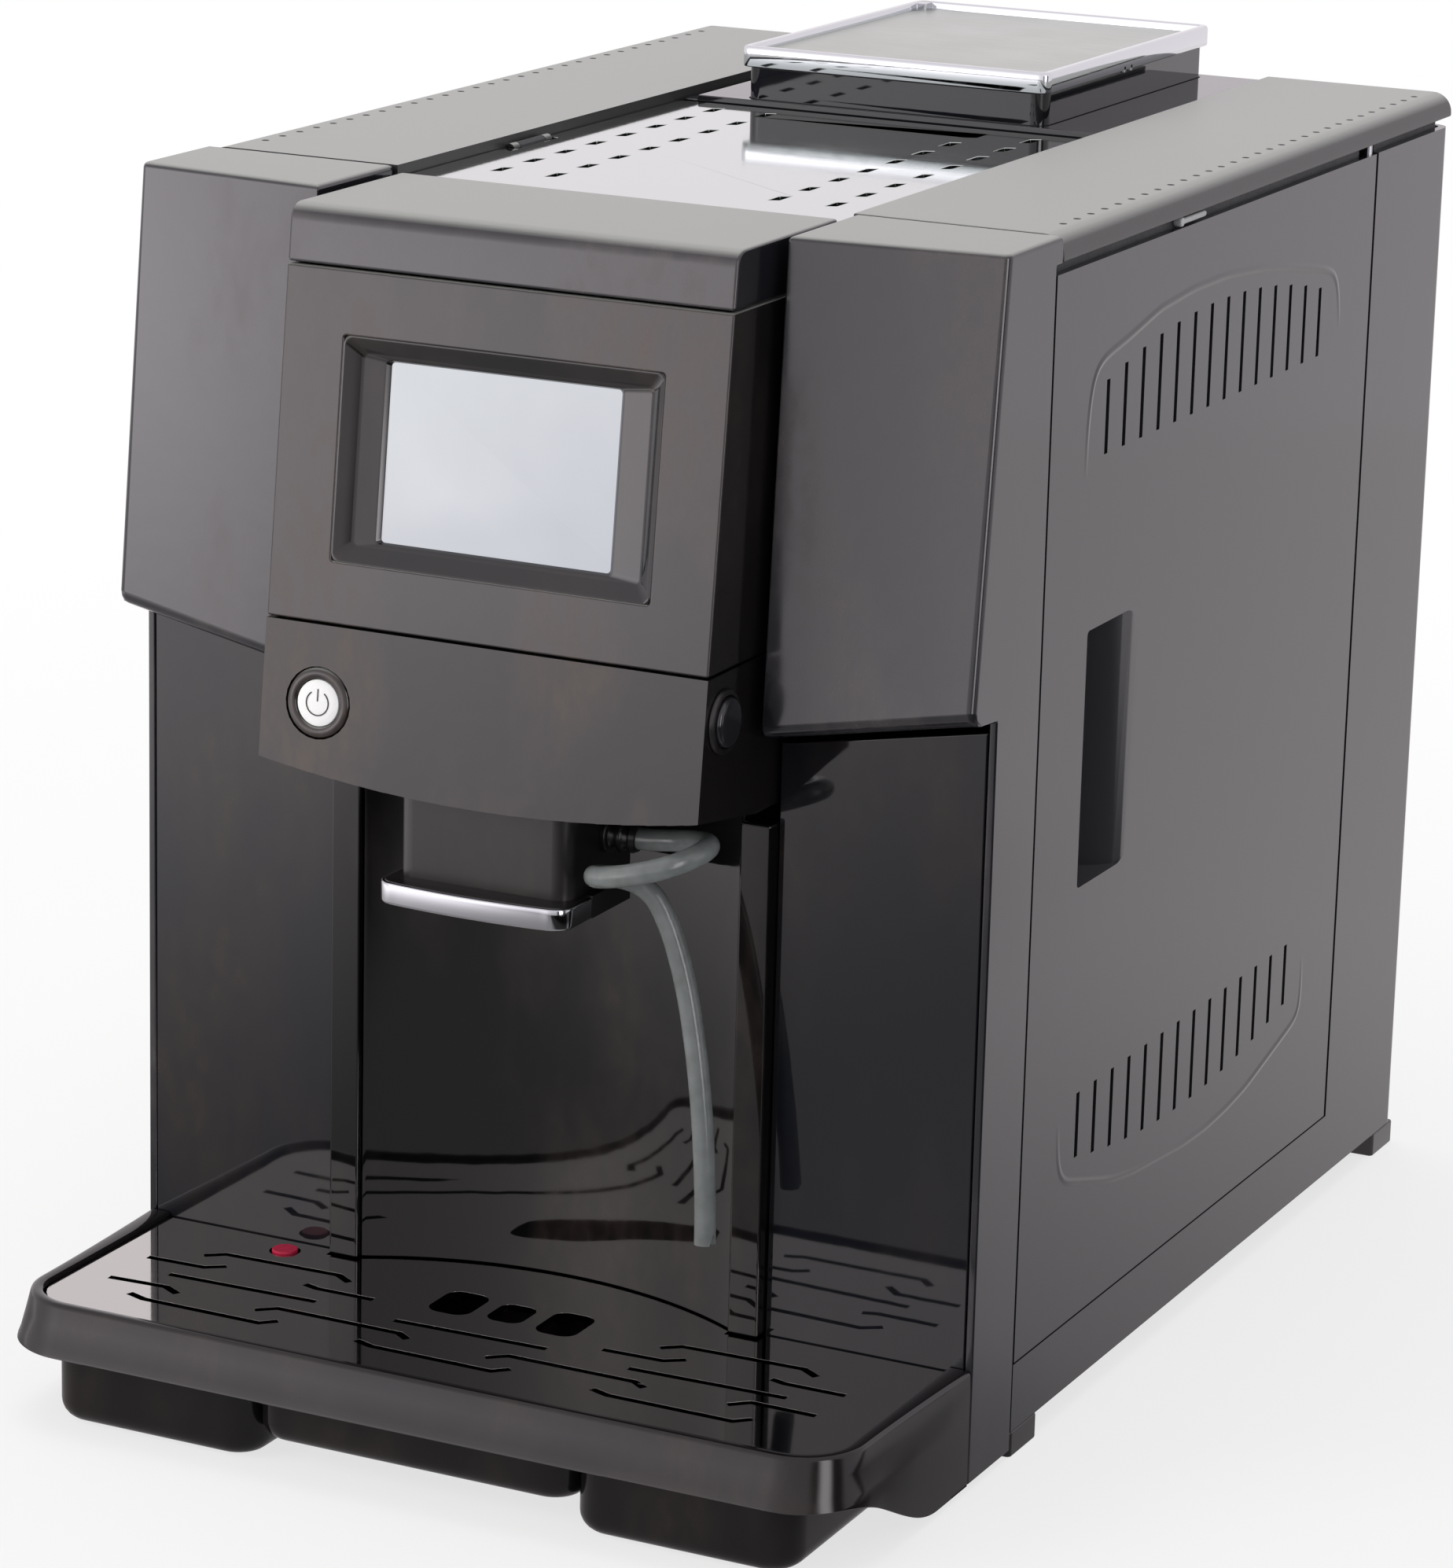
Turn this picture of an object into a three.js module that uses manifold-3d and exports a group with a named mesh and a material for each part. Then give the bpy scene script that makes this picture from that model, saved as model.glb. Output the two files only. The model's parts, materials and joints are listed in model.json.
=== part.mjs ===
import * as THREE from 'three';
import { mergeVertices } from 'three/addons/utils/BufferGeometryUtils.js';
import Module from 'manifold-3d';

// Bean to cup coffee machine for a worktop, in millimetres.
// +X is to the machine's right as seen from the front, +Y to its back and +Z up.
// Places are measured from the worktop, from the middle plane and from the front seam of the
// side panels. The last group moves the origin to the middle of the machine's base.

const wasm = await Module();
wasm.setup();

// Clearances and walls
const seat = 0.3;
const frontSeam = 1.2;
const runningGap = 0.15;
const panelSeam = 0.6;
const overrun = 6;
const wall = 2.5;
const thinWall = 2;

// Casing
const bodyWidth = 280;
const bodyDepth = 334;
const panelReach = 30.6;
const footHeight = 8;
const sillHeight = 21.3;
const sideHeight = 326.1;
const deckSeam = 3;
const deckThickness = 7.7;
const skirtClearance = 2.5;
const rearCoverDepth = 70;
const cornerRadius = 6;

// Feet and base
const footLength = 20;
const footWidth = 28;
const footCorner = 1.5;
const baseFloor = 3;
const runnerHeight = 18.6;
const runnerWidth = 4;

// Vents in both sides
const ventCount = 14;
const ventPitch = 13.4;
const ventWidth = 2.5;
const ventStart = 42.5;
const upperVentBase = 58.7;
const upperVentHeight = 31.7;
const upperVentArch = 9.7;
const lowerVentTop = 72.6;
const lowerVentHeight = 29;
const lowerVentArch = 8.6;

// Service door
const scoopStart = 34.5;
const scoopLength = 39;
const scoopDepth = 20;
const scoopBase = 138;
const scoopHeight = 78;
const scoopFrontRadius = 1.5;
const scoopRearRadius = 9;
const pillarSeam = 1;
const hingeInset = 2.25;
const hingeFromEdge = 2.5;
const hingePinRadius = 1.2;
const hingeBead = 5;
const hingePinBite = 5;
const latchWidth = 12;
const latchHeight = 20;
const latchReach = 6;
const latchLevel = 166;

// Decks and the top frame
const deckEdgeRadius = 6.5;
const deckBorder = 8;
const headToDeck = 3.1;
const plateGap = 0.5;
const topStart = 4.3;
const topFrameThickness = 6;
const clipStart = 93.4;
const clipLength = 21.2;
const clipHeight = 2.2;
const clipWidth = 2;

// Cup plate
const plateDrop = 3.4;
const plateThickness = 2;
const plateLength = 185.7;
const plateCorner = 3;
const slotRows = 8;
const slotFirst = 29.7;
const slotLast = 13.2;
const slotOuterRow = 55.5;
const slotInnerRow = 37;
const slotLength = 10.5;
const slotWidth = 3.2;
const slotSkew = 1.8;
const platformMargin = 8;

// Rear deck and bean hopper
const rearDeckDrop = 1.4;
const rearDeckSeam = 2;
const hopperSideMargin = 21.5;
const hopperMargin = 2;
const hopperFromBack = 3;
const hopperRise = 8.8;
const hopperCorner = 5;
const hopperCollar = 4;
const throatRadius = 13;
const throatArcShares = [0.1, 0.9];
const lidHeight = 6.7;
const lidOverhang = 1.5;
const lidInset = 4;
const lidRecess = 3;
const lidPlug = 5;

// Head
const headWidth = 142.8;
const headGap = 4.1;
const headNose = 80.5;
const headLean = THREE.MathUtils.degToRad(6.19);
const headDrop = 1.4;
const headCapHeight = 17;
const displayHeight = 102;
const buttonPanelHeight = 47;
const headArch = 6;
const headArchRun = 38;
const headRear = 1;
const headEdgeRadius = 5;

// Screen
const bezelWidth = 102;
const bezelHeight = 64.4;
const bezelCentre = 51.25;
const bezelDepth = 6;
const bezelLedge = 2.2;
const bezelStep = 5;
const screenWidth = 74.4;
const screenHeight = 51;
const screenDrop = 4.6;
const screenThickness = 4;
const boardThickness = 1.6;

// Power button and side knob
const buttonFromEdge = 18.7;
const buttonLevel = 24;
const buttonRadius = 6.8;
const buttonLength = 5;
const buttonStem = 2.4;
const ringRadius = 10.4;
const ringDepth = 11;
const ringFlange = 1.6;
const knobRadius = 7.25;
const knobLength = 3;
const knobBack = 66;
const knobLevel = 32.8;
const knobShaft = 2.5;
const knobDomeShares = [[0.5, 0.96], [0.86, 0.8], [1, 0.5]];
const collarRadius = 9.5;
const collarHeight = 1.4;
const valveRadius = 9;
const valveLength = 24;

// Wings beside the head
const wingInnerFront = 40.6;
const wingOuterFront = 34;
const wingInnerFoot = 49.5;
const wingOuterFoot = 47.5;
const wingInnerLip = 224;
const wingOuterLip = 236;
const wingUndercut = 5.4;
const wingCorner = 2.5;
const wingLipRadius = 3.5;

// Brew bay
const bayOverlap = 1.4;
const bandWidth = 9.9;
const bandReach = 5;
const bandReturn = 2.6;
const bayDepth = 17;
const bayFoot = 37;
const bandTop = 194;
const bayTop = 232;

// Coffee spout, which slides on a rail
const spoutWidth = 56;
const spoutSetback = 5;
const spoutDepth = 39.5;
const spoutCorner = 5.5;
const spoutDrop = 31.4;
const spoutHeight = 69;
const bandHeight = 6.7;
const bandProud = 9.5;
const bandSide = 3;
const bandLength = 19;
const flangeDepth = 24;
const outletRadius = 5;
const outletBore = 2.5;
const outletSpread = 9;
const outletLength = 4.5;
const neckWidth = 24;
const neckHeight = 30;
const railWidth = 20;
const railDepth = 5;
const railHeight = 77;

// Milk nozzle and hose
const nozzleBack = 24.5;
const nozzleLevel = 21.4;
const nozzleFlange = 5.4;
const nozzleNeck = 3.6;
const nozzleRing = 4.6;
const nozzleLength = 9.7;
const nozzleRingShares = [1 / 6, 0.42, 0.58, 0.83];
const hoseDiameter = 6.4;
const hoseSides = 8;
const hoseSteps = 56;
const gapSamples = 240;

// Drip tray, grille and float
const trayGap = 0.6;
const trayRimInset = 3;
const trayRimReach = 117;
const trayFootReach = 122;
const trayRimHeight = 38.1;
const traySkirtFoot = 23;
const trayCorner = 20;
const trayRimWidthSide = 4.7;
const trayRimFront = 3.5;
const trayWall = 2.2;
const waveStart = 112;
const waveLength = 60;
const grilleDrop = 1.5;
const grilleThickness = 2;
const grilleSlotWidth = 2.6;
const grilleTileShare = 0.591;
const tubInner = 52;
const tubSideGap = 14;
const tubFront = 115.5;
const tubBack = 31.5;
const tubFoot = 0.5;
const middleFoot = 8;
const tongueThickness = 3.3;
const floatFromSide = 37.1;
const floatBack = 39.6;
const floatRadius = 4;
const floatHole = 4.85;
const floatPad = 7;
const floatPadAhead = 5;
const floatPadHeight = 8;
const floatProud = 0.8;

// Inner frame
const frameRight = 46;
const frameFront = 4;
const frameBackGap = 9;
const shelfLevel = 138;
const tankShelfLevel = 86;
const tankShelfLength = 200;

// Water tank, its lid and hinge
const tankFrameGap = 3;
const tankLength = 186;
const tankStart = 14;
const tankHeight = 268.3;
const tankSideGap = 7;
const tankCorner = 6;
const tankOpeningMargin = 1;
const dockRadius = 10;
const dockHeight = 7;
const dockWall = 3;
const hingeLevel = 4;
const hingeOut = 1.3;
const hingeKnuckle = 1.8;
const hingeRod = 1.1;
const hingeTabStart = 76;
const hingeTabLength = 16;
const hingeLugLength = 4;
const hingeRelief = 1.5;

// Grounds container
const groundsStart = 12;
const groundsLength = 88;
const groundsInner = 54;
const groundsHeight = 119;
const groundsSideGap = 5.5;

// Grinder
const grinderRadius = 40;
const grinderHeight = 64;
const grinderWall = 4;
const grinderTop = 300;
const burrRadius = 18;
const burrHeight = 20;
const lowerBurrTop = 8;
const burrSkirtShare = 1.3;
const burrGap = 0.8;
const shaftRadius = 4;
const shaftBite = 10;
const motorRadius = 27;

// Brew group
const brewStart = 116;
const brewLength = 114;
const brewSideGap = 9.7;
const brewFoot = 80;
const brewHeight = 210;
const brewPlate = 4;
const chamberRadius = 24;
const chamberBore = 19.5;
const chamberHeight = 66;
const chamberFloor = 5;
const pistonGap = 0.4;
const pistonHeight = 16;
const pistonLift = 10;
const rodRadius = 6;
const rodLength = 160;

// Heater, pump and boards
const boilerWidth = 52;
const boilerLength = 88;
const boilerHeight = 100;
const boilerStart = 24;
const boilerLeft = 60;
const portRadius = 4;
const portLength = 12;
const pumpRadius = 22;
const pumpLength = 110;
const pumpStart = 80;
const pumpAcross = 14;
const pumpStand = 8;
const boardLength = 150;
const boardHeight = 96;
const boardStart = 90;
const boardLevel = 24;
const chipHeight = 10;
const chipLength = 24;
const inletWidth = 30;
const inletHeight = 26;
const inletSideGap = 36;
const inletLevel = 52;
const inletDepth = 20;
const socketWidth = 24;
const socketHeight = 17;
const socketDepth = 15;

// How finely round shapes are divided
const roundSides = 24;
const middleSides = 20;
const smallSides = 12;
const cornerSteps = 4;
const archSteps = 24;
const waveSteps = 8;

// Levels and places that follow from the sizes
const side = bodyWidth / 2;
const sillFoot = footHeight + seat;
const sillTop = sillFoot + sillHeight;
const sideTop = sillTop + sideHeight;
const deckFoot = sideTop + deckSeam;
const deckTop = deckFoot + deckThickness;
const frameTop = deckFoot - seat;
const frameFoot = frameTop - topFrameThickness;
const headHalf = headWidth / 2;
const buttonAcross = headHalf - buttonFromEdge;
const deckInner = headHalf + headToDeck;
const plateHalf = deckInner - plateGap;
const wingInner = headHalf + headGap;
const bayHalf = headHalf + bayOverlap;
const bayChord = bayHalf - bandWidth;
const panelFront = -panelReach;
const panelBack = panelFront + wall;
const bandFront = panelFront - bandReach;
const chordBack = bandFront + bandReturn;
const bayRadius = (bayChord * bayChord + bayDepth * bayDepth) / (2 * bayDepth);
const bayCentre = chordBack + bayDepth - bayRadius;
const headTop = deckTop - headDrop;
const capSeam = headTop - headCapHeight;
const buttonSeam = capSeam - displayHeight;
const headFoot = buttonSeam - buttonPanelHeight;
const noseLevel = headFoot + headArch;
const rearPillar = bodyDepth - rearCoverDepth;
const doorBack = rearPillar - pillarSeam;
const trayBack = panelFront - trayGap;
const grilleTop = trayRimHeight - grilleDrop;
const grilleFoot = grilleTop - grilleThickness;
const ledgeTop = grilleFoot - seat;
const trayRimHalf = side - trayRimInset;
const tubOuter = trayRimHalf - tubSideGap;
const floatAcross = tubOuter - floatFromSide;
const baseTop = sillFoot + baseFloor;
const frameLeft = deckInner;
const tankOuter = -side + tankSideGap;
const tankInner = -frameLeft - wall - tankFrameGap;
const brewLeft = frameRight + wall + seat;
const brewRight = side - wall - brewSideGap;
const inletAcross = side - inletSideGap;
const plateTop = deckTop - plateDrop;
const slotPitch = (plateLength - slotFirst - slotLast) / (slotRows - 1);
const hopperBack = bodyDepth - hopperFromBack;
const hopperHalf = plateHalf - hopperSideMargin;
const rearDeckFront = topStart + plateLength + rearDeckSeam;
const hopperFront = rearDeckFront + hopperMargin;
const hopperMiddle = (hopperBack + hopperFront) / 2;
const spoutFront = -headNose + spoutSetback;
const spoutBack = spoutFront + spoutDepth;
const spoutFoot = headFoot - spoutDrop;

const headFrontAt = (level) => -headNose + (level - noseLevel) * Math.tan(headLean);

// Solids: a closed three.js geometry becomes a solid that can be joined and cut.
function solid(geometry) {
  const bare = new THREE.BufferGeometry();
  bare.setAttribute('position', geometry.getAttribute('position'));
  bare.setIndex(geometry.getIndex());
  const merged = mergeVertices(bare);
  return new wasm.Manifold(new wasm.Mesh({
    numProp: 3,
    vertProperties: new Float32Array(merged.getAttribute('position').array),
    triVerts: new Uint32Array(merged.getIndex().array),
  }));
}

function join(first, ...others) {
  return others.reduce((whole, next) => whole.add(next), first);
}

function cut(first, ...tools) {
  return tools.reduce((rest, tool) => rest.subtract(tool), first);
}

function piece(name, shape, colour, roughness, metalness) {
  const mesh = shape.getMesh();
  const indexed = new THREE.BufferGeometry();
  indexed.setAttribute('position', new THREE.BufferAttribute(mesh.vertProperties, 3));
  indexed.setIndex(new THREE.BufferAttribute(mesh.triVerts, 1));
  const geometry = indexed.toNonIndexed();
  geometry.computeVertexNormals();
  const material = new THREE.MeshStandardMaterial({ color: colour, roughness, metalness });
  const result = new THREE.Mesh(geometry, material);
  result.name = name;
  return result;
}

function group(...members) {
  const result = new THREE.Group();
  result.add(...members);
  return result;
}

// A block between two corners
function block(x0, x1, y0, y1, z0, z1) {
  const geometry = new THREE.BoxGeometry(x1 - x0, y1 - y0, z1 - z0);
  geometry.translate((x0 + x1) / 2, (y0 + y1) / 2, (z0 + z1) / 2);
  return solid(geometry);
}

// An outline carried along an axis. Its own directions are y and z for axis x, x and z for
// axis y, and x and y for axis z.
function prismGeometry(outline, axis, from, to) {
  const shape = Array.isArray(outline) ? new THREE.Shape(outline) : outline;
  const geometry = new THREE.ExtrudeGeometry(shape, {
    depth: to - from, bevelEnabled: false, curveSegments: cornerSteps,
  });
  const turn = new THREE.Matrix4();
  if (axis === 'x') {
    turn.makeBasis(new THREE.Vector3(0, 1, 0), new THREE.Vector3(0, 0, 1), new THREE.Vector3(1, 0, 0));
    turn.setPosition(from, 0, 0);
  } else if (axis === 'y') {
    turn.makeBasis(new THREE.Vector3(1, 0, 0), new THREE.Vector3(0, 0, 1), new THREE.Vector3(0, -1, 0));
    turn.setPosition(0, to, 0);
  } else {
    turn.setPosition(0, 0, from);
  }
  return geometry.applyMatrix4(turn);
}

function prism(outline, axis, from, to) {
  return solid(prismGeometry(outline, axis, from, to));
}

const point = (u, v) => new THREE.Vector2(u, v);

// A rectangle whose corners are round, each with its own radius, from the low corner round
function roundedBox(u0, u1, v0, v1, r0, r1 = r0, r2 = r1, r3 = r0) {
  const shape = new THREE.Shape();
  shape.moveTo(u0 + r0, v0);
  shape.lineTo(u1 - r1, v0);
  if (r1 > 0) shape.absarc(u1 - r1, v0 + r1, r1, -Math.PI / 2, 0);
  shape.lineTo(u1, v1 - r2);
  if (r2 > 0) shape.absarc(u1 - r2, v1 - r2, r2, 0, Math.PI / 2);
  shape.lineTo(u0 + r3, v1);
  if (r3 > 0) shape.absarc(u0 + r3, v1 - r3, r3, Math.PI / 2, Math.PI);
  shape.lineTo(u0, v0 + r0);
  if (r0 > 0) shape.absarc(u0 + r0, v0 + r0, r0, Math.PI, Math.PI * 3 / 2);
  return shape;
}

// A round bar along an axis, about a centre line
function rodGeometry(axis, centre, radius, from, to, sides = roundSides) {
  const geometry = new THREE.CylinderGeometry(radius, radius, to - from, sides);
  if (axis === 'x') geometry.rotateZ(-Math.PI / 2);
  if (axis === 'z') geometry.rotateX(Math.PI / 2);
  const middle = (from + to) / 2;
  const [u, v] = centre;
  if (axis === 'x') geometry.translate(middle, u, v);
  if (axis === 'y') geometry.translate(u, middle, v);
  if (axis === 'z') geometry.translate(u, v, middle);
  return geometry;
}

function rod(axis, centre, radius, from, to, sides) {
  return solid(rodGeometry(axis, centre, radius, from, to, sides));
}

// A turned solid about a vertical line: its profile is a closed list of radius and height
function turned(profile, x, y, sides = roundSides) {
  const geometry = new THREE.LatheGeometry([...profile, profile[0]], sides);
  geometry.rotateX(Math.PI / 2);
  geometry.translate(x, y, 0);
  return outward(geometry);
}

// Faces are turned to point out where a shape came out inside out
function outward(geometry) {
  const merged = mergeVertices(stripped(geometry));
  const places = merged.getAttribute('position');
  const index = merged.getIndex().array;
  const corners = [new THREE.Vector3(), new THREE.Vector3(), new THREE.Vector3()];
  const kept = [];
  let volume = 0;
  for (let i = 0; i < index.length; i += 3) {
    const [a, b, c] = [index[i], index[i + 1], index[i + 2]];
    if (a === b || b === c || c === a) continue;
    kept.push([a, b, c]);
    corners.forEach((corner, k) => corner.fromBufferAttribute(places, [a, b, c][k]));
    volume += corners[0].dot(corners[1].clone().cross(corners[2]));
  }
  merged.setIndex(kept.flatMap(([a, b, c]) => (volume > 0 ? [a, b, c] : [a, c, b])));
  return solid(merged);
}

function stripped(geometry) {
  const bare = new THREE.BufferGeometry();
  bare.setAttribute('position', geometry.getAttribute('position'));
  bare.setIndex(geometry.getIndex());
  return bare;
}

// A skin drawn over a row of rings of points, with both ends closed
function loft(rings) {
  const flat = (ring) => ring.map((p) => new THREE.Vector2(p.x, p.y));
  const backward = THREE.ShapeUtils.isClockWise(flat(rings[0]));
  const ordered = backward ? rings.map((ring) => [...ring].reverse()) : rings;
  const count = ordered[0].length;
  const places = ordered.flat().flatMap((p) => [p.x, p.y, p.z]);
  const index = [];
  for (let level = 0; level < ordered.length - 1; level += 1) {
    for (let i = 0; i < count; i += 1) {
      const a = level * count + i;
      const b = level * count + (i + 1) % count;
      index.push(a, b, b + count, a, b + count, a + count);
    }
  }
  const last = (ordered.length - 1) * count;
  for (const [a, b, c] of THREE.ShapeUtils.triangulateShape(flat(ordered[0]), [])) {
    index.push(a, c, b);
  }
  for (const [a, b, c] of THREE.ShapeUtils.triangulateShape(flat(ordered.at(-1)), [])) {
    index.push(last + a, last + b, last + c);
  }
  const geometry = new THREE.BufferGeometry();
  geometry.setAttribute('position', new THREE.Float32BufferAttribute(places, 3));
  geometry.setIndex(index);
  return outward(geometry);
}

// Points of an arc about a centre, from one angle to another
function arc(u, v, radius, start, end, steps = cornerSteps) {
  return Array.from({ length: steps + 1 }, (_, i) => {
    const angle = start + (end - start) * (i / steps);
    return point(u + radius * Math.cos(angle), v + radius * Math.sin(angle));
  });
}

const lift = (outline, levelOf) => outline.map((p) => new THREE.Vector3(p.x, p.y, levelOf(p)));

// The leaning plane of the head's front: x across, y inward and z up along the plane
function frontPlane(level) {
  const placed = new THREE.Matrix4().makeRotationX(-headLean);
  placed.setPosition(0, headFrontAt(level), level);
  return placed;
}

function onFront(geometry, level) {
  return solid(geometry.clone().applyMatrix4(frontPlane(level)));
}

function frontGroup(level, ...members) {
  const placed = group(...members);
  placed.position.set(0, headFrontAt(level), level);
  placed.rotation.x = -headLean;
  return placed;
}

// The bay's hollow wall as an arc of a given radius, from left to right
function bayArc(radius, steps = 14) {
  const half = Math.asin(bayChord / bayRadius);
  return arc(0, bayCentre, radius, Math.PI / 2 + half, Math.PI / 2 - half, steps);
}

// Finishes: colour, roughness and metalness
const pianoBlack = [0x0c0c0e, 0.12, 0];
const satinBlack = [0x1a1a1c, 0.45, 0];
const innerBlack = [0x262628, 0.6, 0];
const chromed = [0xe6e6e8, 0.08, 1];
const steel = [0xb9bbbe, 0.3, 1];
const rubber = [0x141414, 0.85, 0];
const clearGrey = [0x6a7276, 0.1, 0];
const greySilicone = [0x6c7070, 0.45, 0];
const screenGrey = [0xdedfe2, 0.3, 0];
const crimson = [0xc0284a, 0.45, 0];
const boardGreen = [0x1f4a33, 0.55, 0];
const ceramic = [0xd9d4c8, 0.5, 0];
const paleGrey = [0xb0b0b2, 0.5, 0];

// Base pan with its apron and the runners for the grounds container
function makeBase() {
  const half = side - wall - seat;
  const back = bodyDepth - wall - seat;
  const corner = cornerRadius - wall;
  const floor = block(-half, half, panelBack + seat, wall, sillFoot, baseTop);
  const pan = cut(
    prism(roundedBox(-half, half, 0, back, 0, 0, corner, corner), 'z', sillFoot, sillTop),
    prism(roundedBox(-half + wall, half - wall, -overrun, back - wall, 0, 0, seat, seat), 'z',
      baseTop, sillTop + overrun),
  );
  const apron = block(-half, half, panelBack + seat, panelBack + seat + wall, sillFoot, sillTop);
  const runnerTop = baseTop + runnerHeight;
  const starts = [groundsStart + runnerWidth, groundsStart + groundsLength - runnerWidth * 2];
  const runners = starts.map((start) => (
    block(groundsInner, half, start, start + runnerWidth, baseTop - seat, runnerTop)
  ));
  return piece('base_chassis', cut(join(pan, floor, apron, ...runners), hingeSeat(seat)), ...innerBlack);
}

const hingeLine = [side - hingeInset, doorBack - hingeFromEdge];

// The block in the sill that carries the door's hinge pin, or the room left for it
function hingeSeat(grow) {
  return block(side - hingeBead - wall - grow, side, doorBack - hingeBead * 2 - grow, doorBack + grow,
    baseTop + seat - grow, sillTop + (grow > 0 ? overrun : 0));
}

function makeFeet() {
  const across = side - footWidth / 2;
  const places = [
    ['foot_front_left', -across, footLength / 2],
    ['foot_front_right', across, footLength / 2],
    ['foot_rear_left', -across, bodyDepth - footLength / 2],
    ['foot_rear_right', across, bodyDepth - footLength / 2],
  ];
  return places.map(([name, x, y]) => {
    const outline = roundedBox(-footWidth / 2, footWidth / 2, -footLength / 2, footLength / 2, footCorner);
    const foot = piece(name, prism(outline, 'z', 0, footHeight), ...rubber);
    foot.position.set(x, y, 0);
    return foot;
  });
}

// The vents of a side: a row of upright slots whose ends follow an arch
function ventSlots(x0, x1) {
  const middle = ventStart + ventPitch * (ventCount - 1) / 2;
  const reach = middle - ventStart;
  const upperFoot = sideTop - upperVentBase;
  const lowerTop = sillTop + lowerVentTop;
  const slots = [];
  for (let i = 0; i < ventCount; i += 1) {
    const y = ventStart + i * ventPitch;
    const fall = ((y - middle) / reach) ** 2;
    const upperTop = upperFoot + upperVentHeight - upperVentArch * fall;
    const lowerFoot = lowerTop - lowerVentHeight + lowerVentArch * fall;
    for (const [z0, z1] of [[upperFoot, upperTop], [lowerFoot, lowerTop]]) {
      slots.push(block(x0, x1, y - ventWidth / 2, y + ventWidth / 2, z0, z1));
    }
  }
  return slots;
}

function makeLeftSide() {
  const panel = block(-side, -side + wall, frontSeam, doorBack, sillTop + seat, sideTop - seat);
  const vented = cut(panel, ...ventSlots(-side - overrun, -side + wall + overrun));
  return piece('left_side_cover', vented, ...pianoBlack);
}

// The scoop of the door: deepest and steepest in front, running out flush behind
function scoopOutline(grow) {
  const front = scoopStart - grow;
  const length = scoopLength + grow * 2;
  const depth = scoopDepth + grow;
  const outer = side + (grow > 0 ? 0 : overrun);
  const curve = Array.from({ length: cornerSteps * 2 + 1 }, (_, i) => {
    const run = i / (cornerSteps * 2);
    return point(side - depth * (1 - Math.sin(run * Math.PI / 2)), front + length * run);
  });
  return [point(outer, front), ...curve, point(outer, front + length)];
}

// The scoop as seen from the side: nearly square in front and round behind
function scoopWindow(grow) {
  const level = sillTop + scoopBase;
  const [front, rear] = [scoopFrontRadius + grow, scoopRearRadius + grow];
  return prism(roundedBox(scoopStart - grow, scoopStart + scoopLength + grow,
    level - grow, level + scoopHeight + grow, front, rear, rear, front),
  'x', side - scoopDepth - overrun, side + overrun * 2);
}

function scoopSolid(grow) {
  const level = sillTop + scoopBase;
  const carved = prism(scoopOutline(grow), 'z', level - grow, level + scoopHeight + grow);
  return carved.intersect(scoopWindow(grow));
}

function makeDoor() {
  const foot = sillTop + seat;
  const top = sideTop - seat;
  const panel = block(side - wall, side, frontSeam, doorBack, foot, top);
  const bead = block(side - hingeBead, side - seat, doorBack - hingeBead, doorBack, foot, top);
  const bore = rod('z', hingeLine, hingePinRadius + runningGap, foot - overrun, top + overrun, smallSides);
  const skin = cut(join(panel, bead), ...ventSlots(side - wall - overrun, side + overrun), bore);
  const whole = cut(join(skin, scoopSolid(wall)), scoopSolid(0));
  return piece('service_door', whole, ...pianoBlack);
}

function makeDoorParts() {
  const pin = rod('z', hingeLine, hingePinRadius,
    sillTop - hingePinBite, deckFoot + hingePinBite / 2, smallSides);
  const inner = side - wall - seat;
  const level = sillTop + latchLevel;
  const body = block(inner - latchReach, inner, hingeInset + seat, hingeInset + latchWidth,
    level, level + latchHeight);
  const notch = block(inner - latchReach / 2, inner + overrun, -overrun, hingeInset + latchWidth / 2,
    level + latchHeight / 3, level + latchHeight * 2 / 3);
  return [
    piece('door_hinge_pin', pin, ...steel),
    piece('door_latch', cut(body, notch), ...innerBlack),
  ];
}

// Rear cover: a back wall with round corners and a return along each side that runs forward as
// the sill under the side panels
function makeRearCover() {
  const foot = sillFoot;
  const outer = roundedBox(-side, side, rearPillar, bodyDepth, 0, 0, cornerRadius, cornerRadius);
  const inner = roundedBox(-side + wall, side - wall, rearPillar - overrun, bodyDepth - wall,
    0, 0, cornerRadius - wall, cornerRadius - wall);
  const shell = cut(
    prism(outer, 'z', foot, sideTop),
    prism(inner, 'z', foot - overrun, sideTop + overrun),
  );
  const sills = [-side, side - wall].map((x) => block(x, x + wall, 0, rearPillar + seat, foot, sillTop));
  const hingeHole = rod('z', hingeLine, hingePinRadius + runningGap,
    sillTop - hingePinBite - seat, sillTop + overrun, smallSides);
  const slots = [];
  for (let i = 0; i < ventCount; i += 1) {
    const x = (i - (ventCount - 1) / 2) * ventPitch;
    const z0 = sideTop - upperVentBase;
    slots.push(block(x - ventWidth / 2, x + ventWidth / 2, bodyDepth - wall - overrun, bodyDepth + overrun,
      z0, z0 + upperVentHeight));
  }
  const opening = block(
    inletAcross - inletWidth / 2 - seat, inletAcross + inletWidth / 2 + seat,
    bodyDepth - wall - overrun, bodyDepth + overrun,
    inletLevel - inletHeight / 2 - seat, inletLevel + inletHeight / 2 + seat,
  );
  const whole = cut(join(shell, ...sills, hingeSeat(0)), hingeHole, ...slots, opening);
  return piece('rear_cover', whole, ...satinBlack);
}

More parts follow.
